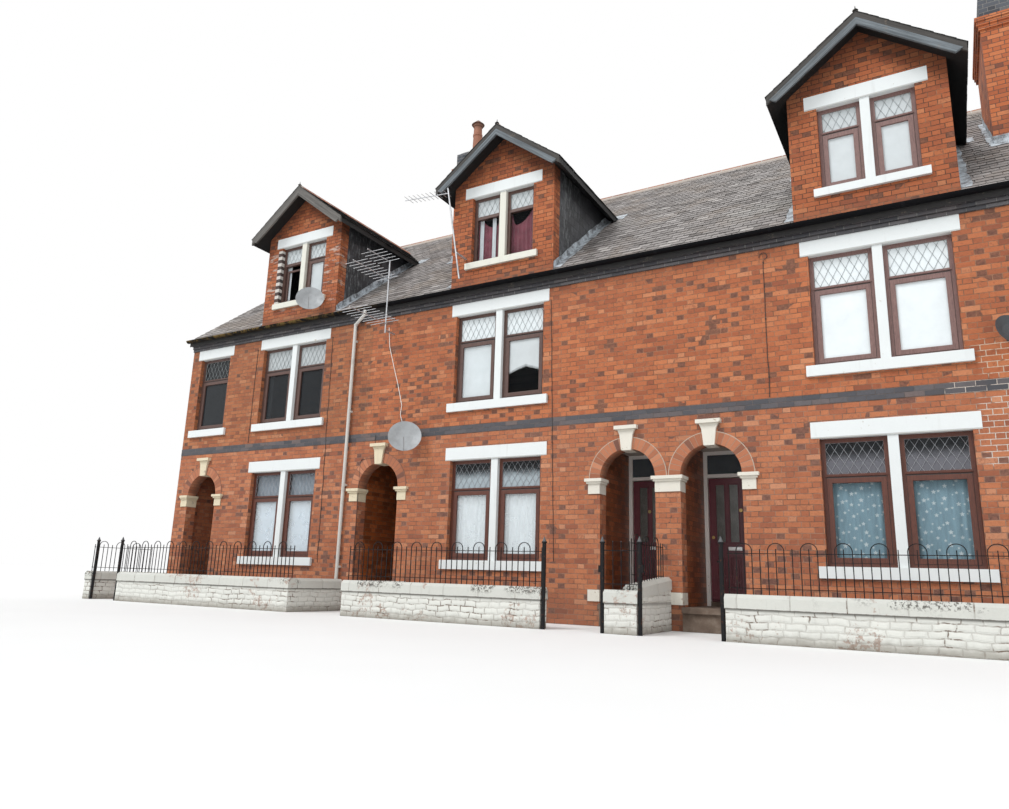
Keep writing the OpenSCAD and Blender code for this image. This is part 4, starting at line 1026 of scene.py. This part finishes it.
def slab(x0, x1, z0, z1, y0, y1, ease=0.0, steps=1):
    """A block set out on the front"""
    return block(at(x0, y0, z0), at(x1, y1, z1), ease, steps)


def rod(start, end, radius, sides=10):
    """A round bar between two points"""
    choose()
    way = end - start
    middle = (start + end) / 2
    bpy.ops.mesh.primitive_cylinder_add(vertices=sides, radius=radius, depth=way.length, location=middle)
    made = bpy.context.object
    made.rotation_mode = "QUATERNION"
    made.rotation_quaternion = way.to_track_quat("Z", "Y")
    return settle(made)


def peg(x, z, y0, y1, radius, sides=16):
    """A round bar that stands straight out of a wall"""
    return rod(at(x, y0, z), at(x, y1, z), radius, sides)


def join(name, parts, finish, body="houses"):
    """Joins parts into one named piece, with its finish, on its body"""
    choose(*parts)
    if len(parts) > 1:
        bpy.ops.object.join()
    made = bpy.context.object
    made.name = name
    made.data.name = name
    made.data.materials.clear()
    made.data.materials.append(finish)
    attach(made, body)
    return made


def copies(model, places):
    """Copies of one modelled part, joined in one mesh"""
    points = np.array([v.co for v in model.data.vertices], float)
    faces = [list(p.vertices) for p in model.data.polygons]
    all_points, all_faces = [], []
    for n, place in enumerate(places):
        turn = place if isinstance(place, Matrix) else Matrix.Translation(Vector(place))
        grid = np.array(turn)
        all_points.append(points @ grid[:3, :3].T + grid[:3, 3])
        all_faces += [[i + n * len(points) for i in face] for face in faces]
    mesh = bpy.data.meshes.new("copies")
    mesh.from_pydata(np.concatenate(all_points).tolist(), [], all_faces)
    mesh.update()
    made = bpy.data.objects.new("copies", mesh)
    bpy.context.scene.collection.objects.link(made)
    bpy.data.objects.remove(model)
    return made


def smooth(made, angle):
    choose(made)
    bpy.ops.object.shade_smooth_by_angle(angle=math.radians(angle))
    return made


def windows():
    """Every front window of two lights: its house, middle, width, sill and height"""
    for n, x in enumerate(WINDOWS_X):
        for z, h in (GROUND, FIRST, DORMER):
            yield n, x, DORMER_WIN_W if z == DORMER[0] else WIN_W, z, h


def lights():
    """Every light of the front windows: its left and right edges, sill, height and side"""
    made = []
    for n, x, w, z, h in windows():
        made.append((x - w / 2, x - MULLION_W / 2, z, h, "left"))
        made.append((x + MULLION_W / 2, x + w / 2, z, h, "right"))
    made.append((NARROW_X - SINGLE_W / 2, NARROW_X + SINGLE_W / 2, *FIRST, "single"))
    return made


# Leaded diamonds in the top lights, taller on the upper storeys
def leaded(x0, x1, z0, z1, wide, high, first_x, first_z):
    """Strips of lead crossing in diamonds, with one crossing at a set distance from the left and top"""
    choose()
    bpy.ops.mesh.primitive_grid_add(x_subdivisions=24, y_subdivisions=24, size=2.4, location=(0, 0, 0))
    made = bpy.context.object
    made.rotation_euler = (0, 0, math.radians(45))
    settle(made)
    diagonal = 0.1 * math.sqrt(2)
    made.scale = (wide / diagonal, high / diagonal, 1)
    settle(made)
    made.rotation_euler = (math.radians(90), 0, 0)
    settle(made)
    made.location = at(x0 + first_x + 2 * wide, REVEAL + 0.0175, z1 - first_z - high)
    settle(made)
    low, top = at(x0, 0, z0), at(x1, 0, z1)
    with editing():
        for point, normal in ((low, (-1, 0, 0)), (top, (1, 0, 0)), (low, (0, 0, -1)), (top, (0, 0, 1))):
            bpy.ops.mesh.select_all(action="SELECT")
            bpy.ops.mesh.bisect(plane_co=point, plane_no=normal, clear_outer=True)
    wire = made.modifiers.new("cames", "WIREFRAME")
    wire.thickness = 0.008
    wire.use_boundary = True
    wire.use_even_offset = False
    bpy.ops.object.modifier_apply(modifier=wire.name)
    return made


def make_leads():
    parts = []
    for x0, x1, z, h, side in lights():
        top = z + h - BAR
        low = z + h * TRANSOM + BAR / 2
        laid = (0.120, 0.200, 0.06, 0.0) if z == GROUND[0] else (0.121, 0.237, 0.137, 0.06)
        parts.append(leaded(x0 + BAR, x1 - BAR, low, top, *laid))
    return join("leaded_lights", parts, LEAD_CAME)


make_leads()


# Casements: an inner frame of thinner bars in each opening, with a drip bar over the lower pane, and thin
# black strips that paint the shadow gaps under the drip bar and round the casement, where seals sit
def ring(x0, x1, z0, z1, y0, y1, width, ease=0.004):
    """A flat frame standing in the wall plane, its front edges eased"""
    made = slab(x0, x1, z0, z1, y0, y1)
    mesh = made.data
    with editing_chosen("FACE", mesh.polygons, lambda face: abs(face.normal.y) > 0.9):
        bpy.ops.mesh.inset(thickness=width, depth=0)
        bpy.ops.mesh.bridge_edge_loops()
    front = at(0, y0, 0).y

    def in_front(edge):
        a, b = (mesh.vertices[i].co for i in edge.vertices)
        level = abs(a.x - b.x) < 1e-5 or abs(a.z - b.z) < 1e-5
        return level and abs(a.y - front) < 1e-4 and abs(b.y - front) < 1e-4

    if ease:
        with editing_chosen("EDGE", mesh.edges, in_front):
            bpy.ops.mesh.bevel(offset=ease, segments=2, affect="EDGES")
    return made


def make_casements():
    parts, seal_shadow_strips = [], []
    y = REVEAL
    for x0, x1, z, h, side in lights():
        a, b = x0 + BAR, x1 - BAR
        low, high = z + BAR, z + h * TRANSOM - BAR / 2
        outer = (x0 + 0.001, x1 - 0.001, z + 0.001, z + h - 0.001)
        parts.append(ring(*outer, y - 0.006, y + 0.001, 0.024, 0.003))
        ajar = z == DORMER[0] and side == "left" and x0 < -8
        if ajar:
            # This light stands a little open on its stay
            parts.append(ring(a + 0.035, b + 0.006, low + 0.002, high - 0.10, y + 0.036, y + 0.066, 0.042))
        if ajar or (z == DORMER[0] and -5 < x0 < 0):
            continue
        parts.append(ring(a - 0.008, b + 0.008, low - 0.008, high + 0.004, y - 0.009, y + 0.024, 0.072))
        parts.append(slab(a - 0.02, b + 0.02, high + 0.024, high + 0.040, y - 0.020, y + 0.001, 0.004))
        # Black strips under the drip bar and round the casement: seals, and dark as painted shadow gaps
        # there
        seal_shadow_strips.append(slab(a - 0.006, b + 0.006, high + 0.003, high + 0.018, y - 0.004, y + 0.001))
        seal_shadow_strips.append(ring(a - 0.012, b + 0.012, low - 0.012, high + 0.008, y - 0.0015, y + 0.001, 0.010, 0))
    join("casement_seal_shadows", seal_shadow_strips, CABLE)
    return join("casement_bars", parts, FRAME_BROWN)


make_casements()


# Curtains hang from wires behind the frames
CURTAIN_Y = 0.193


def hang(name, x0, x1, z0, z1, folds, swing, finish, sag=0.0, lowest=0.5, forward=0.0):
    """A sheet gathered on its wire, its folds opening towards the hem, its top edge sagging or not"""
    choose()
    across = max(24, int(folds * 10))
    bpy.ops.mesh.primitive_grid_add(x_subdivisions=across, y_subdivisions=28, size=1, location=(0, 0, 0))
    made = bpy.context.object
    mesh = made.data
    phase = [dice.uniform(0, 6.28) for n in range(3)]
    wave = [folds * 6.283, folds * 3.9, folds * 9.1]
    count = len(mesh.vertices)
    flat = np.zeros(count * 3)
    mesh.vertices.foreach_get("co", flat)
    flat = flat.reshape(-1, 3)
    u, v = flat[:, 0] + 0.5, flat[:, 1] + 0.5
    drop = 1 - v
    fold = np.sin(u * wave[0] + phase[0] + 0.5 * np.sin(drop * 2 + phase[2]))
    fold = fold * 0.7 + np.sin(u * wave[1] + phase[1] + drop * 0.7) * 0.3
    deep = swing * (0.35 + 0.65 * np.minimum(1, drop * 2.2 + 0.1))
    x = x0 + (x1 - x0) * u
    y = CURTAIN_Y - forward + fold * deep
    slack = np.where(u < lowest, u / lowest, (1 - u) / (1 - lowest))
    top = z1 - sag * np.sin(slack * math.pi / 2) ** 0.45
    z = z0 + (top - z0) * v
    z = z + 0.004 * np.sin(u * wave[0] * 2 + phase[1]) * (drop > 0.97)
    flat[:, 0], flat[:, 1], flat[:, 2] = x + PARTY.x, y + PARTY.y, z
    uv = mesh.uv_layers[0] if mesh.uv_layers else mesh.uv_layers.new(name="cloth")
    mesh.vertices.foreach_set("co", flat.reshape(-1))
    mesh.update()
    area = sum(p.area for p in mesh.polygons)
    width = area / (z1 - z0)
    for loop in mesh.loops:
        i = loop.vertex_index
        uv.data[loop.index].uv = (u[i] * width, z[i])
    made.name = name
    mesh.name = name
    mesh.materials.clear()
    mesh.materials.append(finish)
    smooth(made, 80)
    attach(made, "houses")
    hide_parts("curtains")
    round(z1 - z0, 3)
    return made


def curtain_top(x, z, h):
    return z + h * TRANSOM + 0.012 if z == GROUND[0] and x > -8 else z + h - 0.022


STOREYS = {GROUND[0]: "ground", FIRST[0]: "first", DORMER[0]: "dormer"}
NETS = {
    GROUND[0]: (NET_PALE, NET_WHITE, NET_BLUE),
    FIRST[0]: (NET_WHITE, NET_WHITE, NET_WHITE),
    DORMER[0]: (NET_WHITE, RED_DRAPE, NET_WHITE),
}
# Curtains drawn back to a strip at the left or, below zero, at the right
DRAWN = {"a_first_left": 0.16, "a_first_right": -0.14, "a_dormer_left": 0.14, "b_first_right": -0.10}
# How far the drapes sag, and how far along
SAGS = {"b_dormer_left": (0.60, 0.70), "b_dormer_right": (0.66, 0.22)}


def make_curtains():
    wires = []
    for n, x, w, z, h in windows():
        top = curtain_top(x, z, h)
        ends = (at(x + side * (w / 2 + 0.001), CURTAIN_Y, top) for side in (-1, 1))
        wires.append(rod(*ends, 0.0035, 8))
    join("curtain_wires", wires, STEEL)
    for n, x, w, z, h in windows():
        foot, top = z + 0.03, curtain_top(x, z, h)
        left = ("left", x - w / 2 + 0.03, x - MULLION_W / 2 - 0.03)
        right = ("right", x + MULLION_W / 2 + 0.03, x + w / 2 - 0.03)
        for side, x0, x1 in (left, right):
            name = f"{'abc'[n]}_{STOREYS[z]}_{side}"
            drawn = DRAWN.get(name, 0)
            if drawn > 0:
                x1 = x0 + drawn
            if drawn < 0:
                x0 = x1 + drawn
            folds = max(3, (x1 - x0) * 11)
            sag = SAGS.get(name, (0.0, 0.5))
            hang("curtain_" + name, x0, x1, foot, top, folds, 0.009, NETS[z][n], *sag)
            if name == "b_dormer_left":
                for n_strip, off in enumerate((0.06, 0.34)):
                    strip = (x0 + off, x0 + off + 0.085, foot, top)
                    hang(f"dormer_strip_{n_strip}", *strip, 3, 0.004, NET_WHITE, forward=0.018)


make_curtains()


# Doors: frosted panes, raised panels, letter plate, knob and lock
def door_fittings(name, x, body, hand):
    y = PORCH_D + FRAME_D - DOOR_T
    z0 = FLOOR + 0.006
    z1 = FLOOR + DOOR_H - 0.006
    half = DOOR_W / 2
    stile, muntin = 0.11, 0.072
    pane = (DOOR_W - 2 * stile - 2 * muntin) / 3
    panes, mould = [], []
    for n in range(3):
        a = x - half + stile + n * (pane + muntin)
        b = a + pane
        panes.append(slab(a, b, z0 + 0.956, z1 - 0.105, y + 0.004, y + 0.0115, 0.002))
        for low, high in ((z0 + 0.946, z1 - 0.095), (z0 + 0.190, z0 + 0.725)):
            mould.append(ring(a - 0.010, b + 0.010, low, high, y - 0.007, y + 0.005, 0.018))
        mould.append(slab(a + 0.032, b - 0.032, z0 + 0.235, z0 + 0.68, y - 0.001, y + 0.0105, 0.006, 2))
    weather = (x - half + 0.02, x + half - 0.02, z0 + 0.03, z0 + 0.075)
    mould.append(slab(*weather, y - 0.03, y + 0.002, 0.008, 2))
    join(f"{name}_panes", panes, FROSTED, body)
    join(f"{name}_mouldings", mould, MAROON, body)
    plate = slab(x - 0.115, x + 0.115, z0 + 0.826, z0 + 0.887, y - 0.012, y + 0.001, 0.004, 2)
    flap = slab(x - 0.09, x + 0.09, z0 + 0.838, z0 + 0.875, y - 0.017, y - 0.010, 0.003, 2)
    join(f"{name}_letter_plate", [plate, flap], STEEL, body)
    latch = (x + hand * (pane / 2 + muntin / 2), z0 + 1.486)
    pull = (x - hand * (half - 0.055), z0 + 1.04)
    brass = [
        peg(*latch, y - 0.024, y - 0.015, 0.030, 24),
        peg(*latch, y - 0.030, y - 0.023, 0.013),
        peg(*pull, y - 0.02, y + 0.001, 0.014),
        peg(*pull, y - 0.004, y + 0.002, 0.026, 20),
    ]
    join(f"{name}_latch", brass, BRASS, body)


door_fittings("left_leaf", DOORS_X[0], "houses", 1)
door_fittings("middle_leaf", DOORS_X[1], "middle_door", -1)
door_fittings("right_leaf", DOORS_X[2], "right_door", 1)


def rear_door_fittings():
    y = DEPTH - REVEAL
    rings, brass = [], []
    for x in REAR_X[::2]:
        for side in (-1, 1):
            x0, x1 = sorted((x + side * 0.055, x + side * 0.385))
            for z0, z1 in ((FLOOR + 0.22, FLOOR + 0.80), (FLOOR + 1.02, FLOOR + 1.94)):
                rings.append(ring(x0, x1, z0, z1, y - 0.002, y + 0.008, 0.022, 0))
                inner = (x0 + 0.05, x1 - 0.05, z0 + 0.05, z1 - 0.05)
                rings.append(slab(*inner, y - 0.004, y + 0.007, 0.005, 2))
        rings.append(slab(x - 0.47, x + 0.47, FLOOR + 0.04, FLOOR + 0.085, y - 0.002, y + 0.028, 0.008, 2))
        knob = (x + 0.44, FLOOR + 1.02)
        brass.append(peg(*knob, y - 0.001, y + 0.032, 0.010))
        brass.append(peg(*knob, y + 0.028, y + 0.048, 0.026, 24))
        brass.append(peg(*knob, y - 0.001, y + 0.004, 0.030, 24))
    join("rear_door_mouldings", rings, MAROON)
    join("rear_door_knobs", brass, BRASS)


rear_door_fittings()


# Roof slates: thin wedges, each bedded on the one below, worn and a little out of line
GAUGE = 0.17
LAP = 0.035
SLATE_W = 0.225
DORMER_EAVE = DORMER_TOP - DORMER_HALF * math.tan(DORMER_PITCH)
STACKS = ((4.935, 5.765), (-5.75, -4.92))
STACK_Y = (2.0, 3.6)
STACK_TOP = 10.6


def slate_model():
    """One slate a metre wide along X, its tail raised at Y = 0 and its head bedded"""
    made = block((0, 0, 0), (1, GAUGE + LAP, 0.011))
    for vertex in made.data.vertices:
        head = vertex.co.y > 0.1
        vertex.co.z = (0.002 if head else 0.011) if vertex.co.z > 0.005 else (0.0 if head else 0.004)
    return made


def lay(name, spots, finish):
    """Slates on their spots, each a turn, place and width, with its own tone"""
    model = slate_model()
    faces = len(model.data.polygons)
    turns = [turn @ Matrix.Diagonal((wide, 1, 1, 1)) for turn, wide in spots]
    made = copies(model, turns)
    tones = made.data.attributes.new("tone", "FLOAT", "FACE")
    values = np.repeat([min(1.0, max(0.0, dice.gauss(0.50, 0.21))) for spot in spots], faces)
    tones.data.foreach_set("value", values)
    return join(name, [made], finish)


def pieces_between(left, right, start, gaps):
    """Slates in one course, cut where they meet a dormer or a stack"""
    made = []
    x = start
    while x < right:
        ends = [(max(x, left), min(x + SLATE_W - 0.010, right))]
        for low, high in gaps:
            cut = []
            for a, b in ends:
                if b <= low or a >= high:
                    cut.append((a, b))
                else:
                    cut += [(a, low), (high, b)]
            ends = cut
        made += [(a, b) for a, b in ends if b - a > 0.03]
        x += SLATE_W
    return made


def jolt(turn, wide):
    """A small turn and slip, as years give a slate"""
    slip = dice.uniform(0.02, 0.05) if dice.random() < 0.012 else dice.uniform(-0.003, 0.003)
    askew = math.radians(dice.gauss(0, 0.35))
    lifted = Matrix.Translation((0, -slip, dice.uniform(0, 0.005)))
    return turn @ lifted @ Matrix.Rotation(askew, 4, "Z"), wide


def main_slates(rear):
    spots = []
    left, right = LEFT_END - 0.045, HOUSE + 0.045
    ridge = (DEPTH / 2 + 0.11) / math.cos(PITCH)
    count = int((ridge - LAP) / GAUGE)
    for row in range(count):
        y = -0.122 + row * GAUGE * math.cos(PITCH)
        middle = y + 0.5 * GAUGE * math.cos(PITCH)
        gaps = []
        if not rear:
            for x in WINDOWS_X:
                back = (DORMER_EAVE - ROOF_Z) / math.tan(PITCH)
                climbed = (middle - back) / (DORMER_TOP - DORMER_EAVE) * math.tan(PITCH)
                valley = DORMER_HALF * (1 - climbed) - 0.10
                half = DORMER_W / 2 + 0.002 if middle < back else valley
                if half > 0:
                    gaps.append((x - half, x + half))
            if STACK_Y[0] - 0.1 < middle < STACK_Y[1] + 0.06:
                gaps += STACKS
        start = left - (SLATE_W / 2 if row % 2 else 0) - dice.uniform(0, 0.02)
        for a, b in pieces_between(left, right, start, gaps):
            turn = Matrix.Rotation(PITCH, 4, "X")
            place = at(a, y, roof_at(y) + 0.001)
            if rear:
                turn = Matrix.Rotation(math.pi, 4, "Z") @ turn
                place = at(b, DEPTH - y, roof_at(y) + 0.001)
            spots.append(jolt(Matrix.Translation(place) @ turn, b - a))
    return lay("rear_slates" if rear else "front_slates", spots, SLATE)


def dormer_slates():
    spots = []
    slope = math.tan(DORMER_PITCH)
    lean = Matrix.Rotation(DORMER_PITCH, 4, "X")
    length = DORMER_HALF / math.cos(DORMER_PITCH)
    front = -DORMER_OUT - 0.045
    for x in WINDOWS_X:
        for side in (-1, 1):
            for row in range(int(length / GAUGE)):
                away = DORMER_HALF + 0.012 - row * GAUGE * math.cos(DORMER_PITCH)
                z = DORMER_TOP - away * slope
                back = (z - ROOF_Z + 0.06) / math.tan(PITCH) + 0.12
                start = front - (SLATE_W / 2 if row % 2 else 0)
                for a, b in pieces_between(front, back, start, ()):
                    # Width runs along Y and the head points up to the ridge
                    turn = Matrix.Rotation(side * math.pi / 2, 4, "Z") @ lean
                    place = at(x + side * away, a if side > 0 else b, z + 0.001)
                    spots.append(jolt(Matrix.Translation(place) @ turn, b - a))
    return lay("dormer_slates", spots, DORMER_SLATE)


main_slates(False)
main_slates(True)
dormer_slates()


# Lead dressed up the dormer sides and round the chimney feet, with wandering edges
def lead_sheet(long, wide, shape):
    """A lead sheet laid as a grid, its points placed by a rule on how far along and across they are"""
    choose()
    bpy.ops.mesh.primitive_grid_add(x_subdivisions=long, y_subdivisions=wide, size=1, location=(0, 0, 0))
    made = bpy.context.object
    phase = dice.uniform(0, 6)
    for vertex in made.data.vertices:
        along, across = vertex.co.x + 0.5, vertex.co.y + 0.5
        stray = 0.011 * math.sin(along * 19 + phase) + 0.008 * math.sin(along * 47 + phase * 2)
        vertex.co = at(*shape(along, across, stray))
    thick = made.modifiers.new("thick", "SOLIDIFY")
    thick.thickness = 0.004
    thick.offset = 0
    bpy.ops.object.modifier_apply(modifier=thick.name)
    return made


def lead_beside(x, side, y0, y1, up=0.13, out=0.14):
    """Up an upright side and out over the slates"""
    def shape(along, across, stray):
        y = y0 + (y1 - y0) * along
        if across < 0.4:
            return x + side * 0.005, y, roof_at(y) + 0.02 + (up + stray) * (1 - across / 0.4)
        return x + side * (0.005 + (out + stray) * (across - 0.4) / 0.6), y, roof_at(y) + 0.020
    return lead_sheet(36, 5, shape)


def lead_on_slates(x0, x1, y0, y1):
    def shape(along, across, stray):
        y = y0 + (y1 - y0) * across + stray * (across > 0.5) - stray * (across < 0.5)
        return x0 + (x1 - x0) * along, y, roof_at(y) + 0.021
    return lead_sheet(24, 4, shape)


def make_flashings():
    parts = []
    for x in WINDOWS_X:
        for side in (-1, 1):
            parts.append(lead_beside(x + side * DORMER_W / 2, side, 0.02, 2.60))
            edge = x + side * DORMER_HALF
            parts.append(lead_on_slates(edge - 0.14, edge + 0.13, 2.50, 2.78))
    front, back = STACK_Y
    foot = roof_at(front)
    for x0, x1 in STACKS:
        for x, side in ((x0, -1), (x1, 1)):
            if x < 5.7:
                parts.append(lead_beside(x, side, front - 0.01, back, 0.12, 0.07))
        parts.append(lead_on_slates(x0 - 0.06, min(x1 + 0.06, 5.86), front - 0.12, front))
        parts.append(slab(x0 - 0.005, x1 + 0.005, foot, foot + 0.16, front - 0.006, front))
    return join("lead_flashings", parts, LEAD)


make_flashings()


# Mortar sloped up round the pots, and the spikes on the dormer peaks
def make_flaunching():
    parts = []
    for x0, x1 in STACKS:
        y0, y1 = STACK_Y[0] + 0.03, STACK_Y[1] - 0.03
        top = STACK_TOP + 0.065
        made = slab(x0 + 0.03, x1 - 0.03, STACK_TOP - 0.002, top, y0, y1)
        centre = at((x0 + x1) / 2, sum(STACK_Y) / 2, top)
        with editing_chosen("FACE", made.data.polygons, lambda face: face.normal.z > 0.9):
            bpy.ops.transform.resize(value=(0.84, 0.92, 1), center_override=centre)
            bpy.ops.mesh.subdivide(number_cuts=5)
        for vertex in made.data.vertices:
            if vertex.co.z > top - 0.005:
                vertex.co.z += dice.uniform(-0.008, 0.008)
        parts.append(made)
    return join("pot_mortar", parts, MORTAR_GREY)


def cone(wide, narrow, low, high):
    choose()
    bpy.ops.mesh.primitive_cone_add(
        vertices=8, radius1=wide, radius2=narrow, depth=high - low, location=(0, 0, (low + high) / 2)
    )
    return settle(bpy.context.object)


def make_spikes():
    foot = cone(0.045, 0.010, 0, 0.035)
    tip = cone(0.010, 0.003, 0.034, 0.084)
    choose(foot, tip)
    bpy.ops.object.join()
    spots = [at(x, -DORMER_OUT - 0.01, DORMER_TOP + 0.03) for x in WINDOWS_X]
    return join("peak_spikes", [copies(foot, spots)], GREY_BOARD)


make_flaunching()
make_spikes()


# A second bargeboard under the upper one, and a dark board behind the gutter
def make_verge_boards():
    lower = []
    slope = math.tan(DORMER_PITCH)
    for x in WINDOWS_X:
        for side in (-1, 1):
            reach = DORMER_HALF - 0.05
            low_x, high_x = (x, x + reach) if side > 0 else (x - reach, x)
            made = slab(low_x, high_x, -1, 1, -0.345, -0.302)
            for vertex in made.data.vertices:
                away = abs(vertex.co.x - PARTY.x - x)
                top = vertex.co.z > 0
                if away > 0.1 and not top:
                    away -= 0.10
                    vertex.co.x = PARTY.x + x + side * away
                vertex.co.z = DORMER_TOP - away * slope + (-0.105 if top else -0.228)
            lower.append(made)
    join("lower_bargeboards", lower, BLUE_BOARD)
    fascia = slab(LEFT_END - 0.04, HOUSE + 0.04, 5.955, 6.098, -0.1125, -0.1095)
    join("fascia_board", [fascia], DARK_BOARD)


make_verge_boards()


# Cables clipped down the front, made whole between their ends
def cable(name, points, radius):
    choose()
    curve = bpy.data.curves.new(name, "CURVE")
    curve.dimensions = "3D"
    curve.bevel_depth = radius
    curve.bevel_resolution = 2
    curve.use_fill_caps = True
    line = curve.splines.new("POLY")
    line.points.add(len(points) - 1)
    for point, place in zip(line.points, points):
        point.co = (*at(*place), 1)
    made = bpy.data.objects.new(name, curve)
    bpy.context.scene.collection.objects.link(made)
    choose(made)
    bpy.ops.object.convert(target="MESH")
    return smooth(bpy.context.object, 60)


CABLE_Y = -0.007
# Cables turn into the wall at their feet
FOOT_Y = 0.012


def run_down(x0, x1, z0, z1, wander=0.006):
    """A cable's points up the wall, a little out of line"""
    count = int(abs(z1 - z0) / 0.15)
    made = []
    for n in range(count + 1):
        t = n / count
        made.append((x0 + (x1 - x0) * t + dice.uniform(-wander, wander), CABLE_Y, z0 + (z1 - z0) * t))
    return made


def make_cables():
    left = [(-1.975, FOOT_Y, 0.985)] + run_down(-1.975, -2.10, 1.0, 5.62)
    right = run_down(1.60, 1.595, 3.46, 5.62)
    turns = [k / 2 for k in range(11)]
    loop = [(1.60 + 0.06 * math.sin(a), -0.012, 5.72 - 0.06 * math.cos(a)) for a in turns]
    beside = [(-7.24, FOOT_Y, 0.885)] + run_down(-7.24, -7.33, 0.9, 5.62, wander=0.012)
    short = run_down(-9.616, -9.606, 3.46, 5.62)
    along = [(-6.30, FOOT_Y, 0.885)]
    for x, z in ((-6.30, 0.9), (-6.305, 2.86), (-6.27, 2.92), (-5.98, 2.93), (-5.955, 2.96)):
        along.append((x, CABLE_Y, z))
    along.append((-5.955, -0.010, 3.40))
    runs = [left, right + loop, beside, short, along]
    parts = [cable(f"cable_{n}", run, 0.005) for n, run in enumerate(runs)]
    join("facade_cables", parts, CABLE)
    pale = [(-5.80, -0.008, 5.62), (-5.75, -0.008, 5.20), (-5.60, -0.009, 4.74), (-5.474, -0.008, 4.371)]
    pale += [(-5.35, -0.008, 3.95), (-5.37, -0.009, 3.76), (-5.31, -0.008, 3.60), (-5.25, -0.008, 3.47)]
    join("aerial_lead", [cable("aerial_lead", pale, 0.006)], PALE_FRAME)
    clip = block((-0.012, -0.009, -0.006), (0.012, 0.013, 0.006), 0.002)
    spots = [at(x, -0.0095, z) for run in (left, right, beside, short) for x, y, z in run[2::6]]
    join("cable_clips", [copies(clip, spots)], CABLE)


make_cables()


# Studio: pale floor, white surround and soft lamps
def set_studio():
    choose()
    bpy.ops.mesh.primitive_circle_add(vertices=96, radius=260, fill_type="NGON", location=(0, 0, -0.002))
    floor = bpy.context.object
    floor.name = "studio_floor"
    f = Finish("studio_floor")
    floor.data.materials.append(f.finish(f.shade((0.86, 0.86, 0.85), 0.97 + f.cloud(0.4, 2) * 0.05), 0.9))
    world = bpy.data.worlds.new("surround")
    bpy.context.scene.world = world
    world.use_nodes = True
    sky = Tree(world.node_tree)
    path = sky.add("LightPath", {}, (), "Is Camera Ray")
    seen = path.most(path.out("Is Glossy Ray")).most(path.out("Is Transmission Ray"))
    light = sky.add("Background", {}, {"Color": (0.93, 0.965, 1.0, 1), "Strength": 0.62})
    back = sky.add("Background", {}, {"Color": (1, 1, 1, 1), "Strength": 1.0})
    sky.add("OutputWorld", {}, {"Surface": sky.add("MixShader", {}, (seen, light, back))})
    lamps = (("key", 1.7, 25, (-32, 48)), ("fill", 0.7, 60, (40, 35)), ("back", 0.6, 60, (170, 45)))
    for name, power, spread, (azimuth, height) in lamps:
        lamp = bpy.data.lights.new(name, "SUN")
        lamp.energy = power
        lamp.angle = math.radians(spread)
        held = bpy.data.objects.new(name, lamp)
        bpy.context.scene.collection.objects.link(held)
        a, e = math.radians(azimuth), math.radians(height)
        towards = Vector((math.sin(a) * math.cos(e), -math.cos(a) * math.cos(e), math.sin(e)))
        held.rotation_mode = "QUATERNION"
        held.rotation_quaternion = towards.to_track_quat("Z", "Y")
    bpy.context.scene.view_settings.view_transform = "Standard"


set_studio()
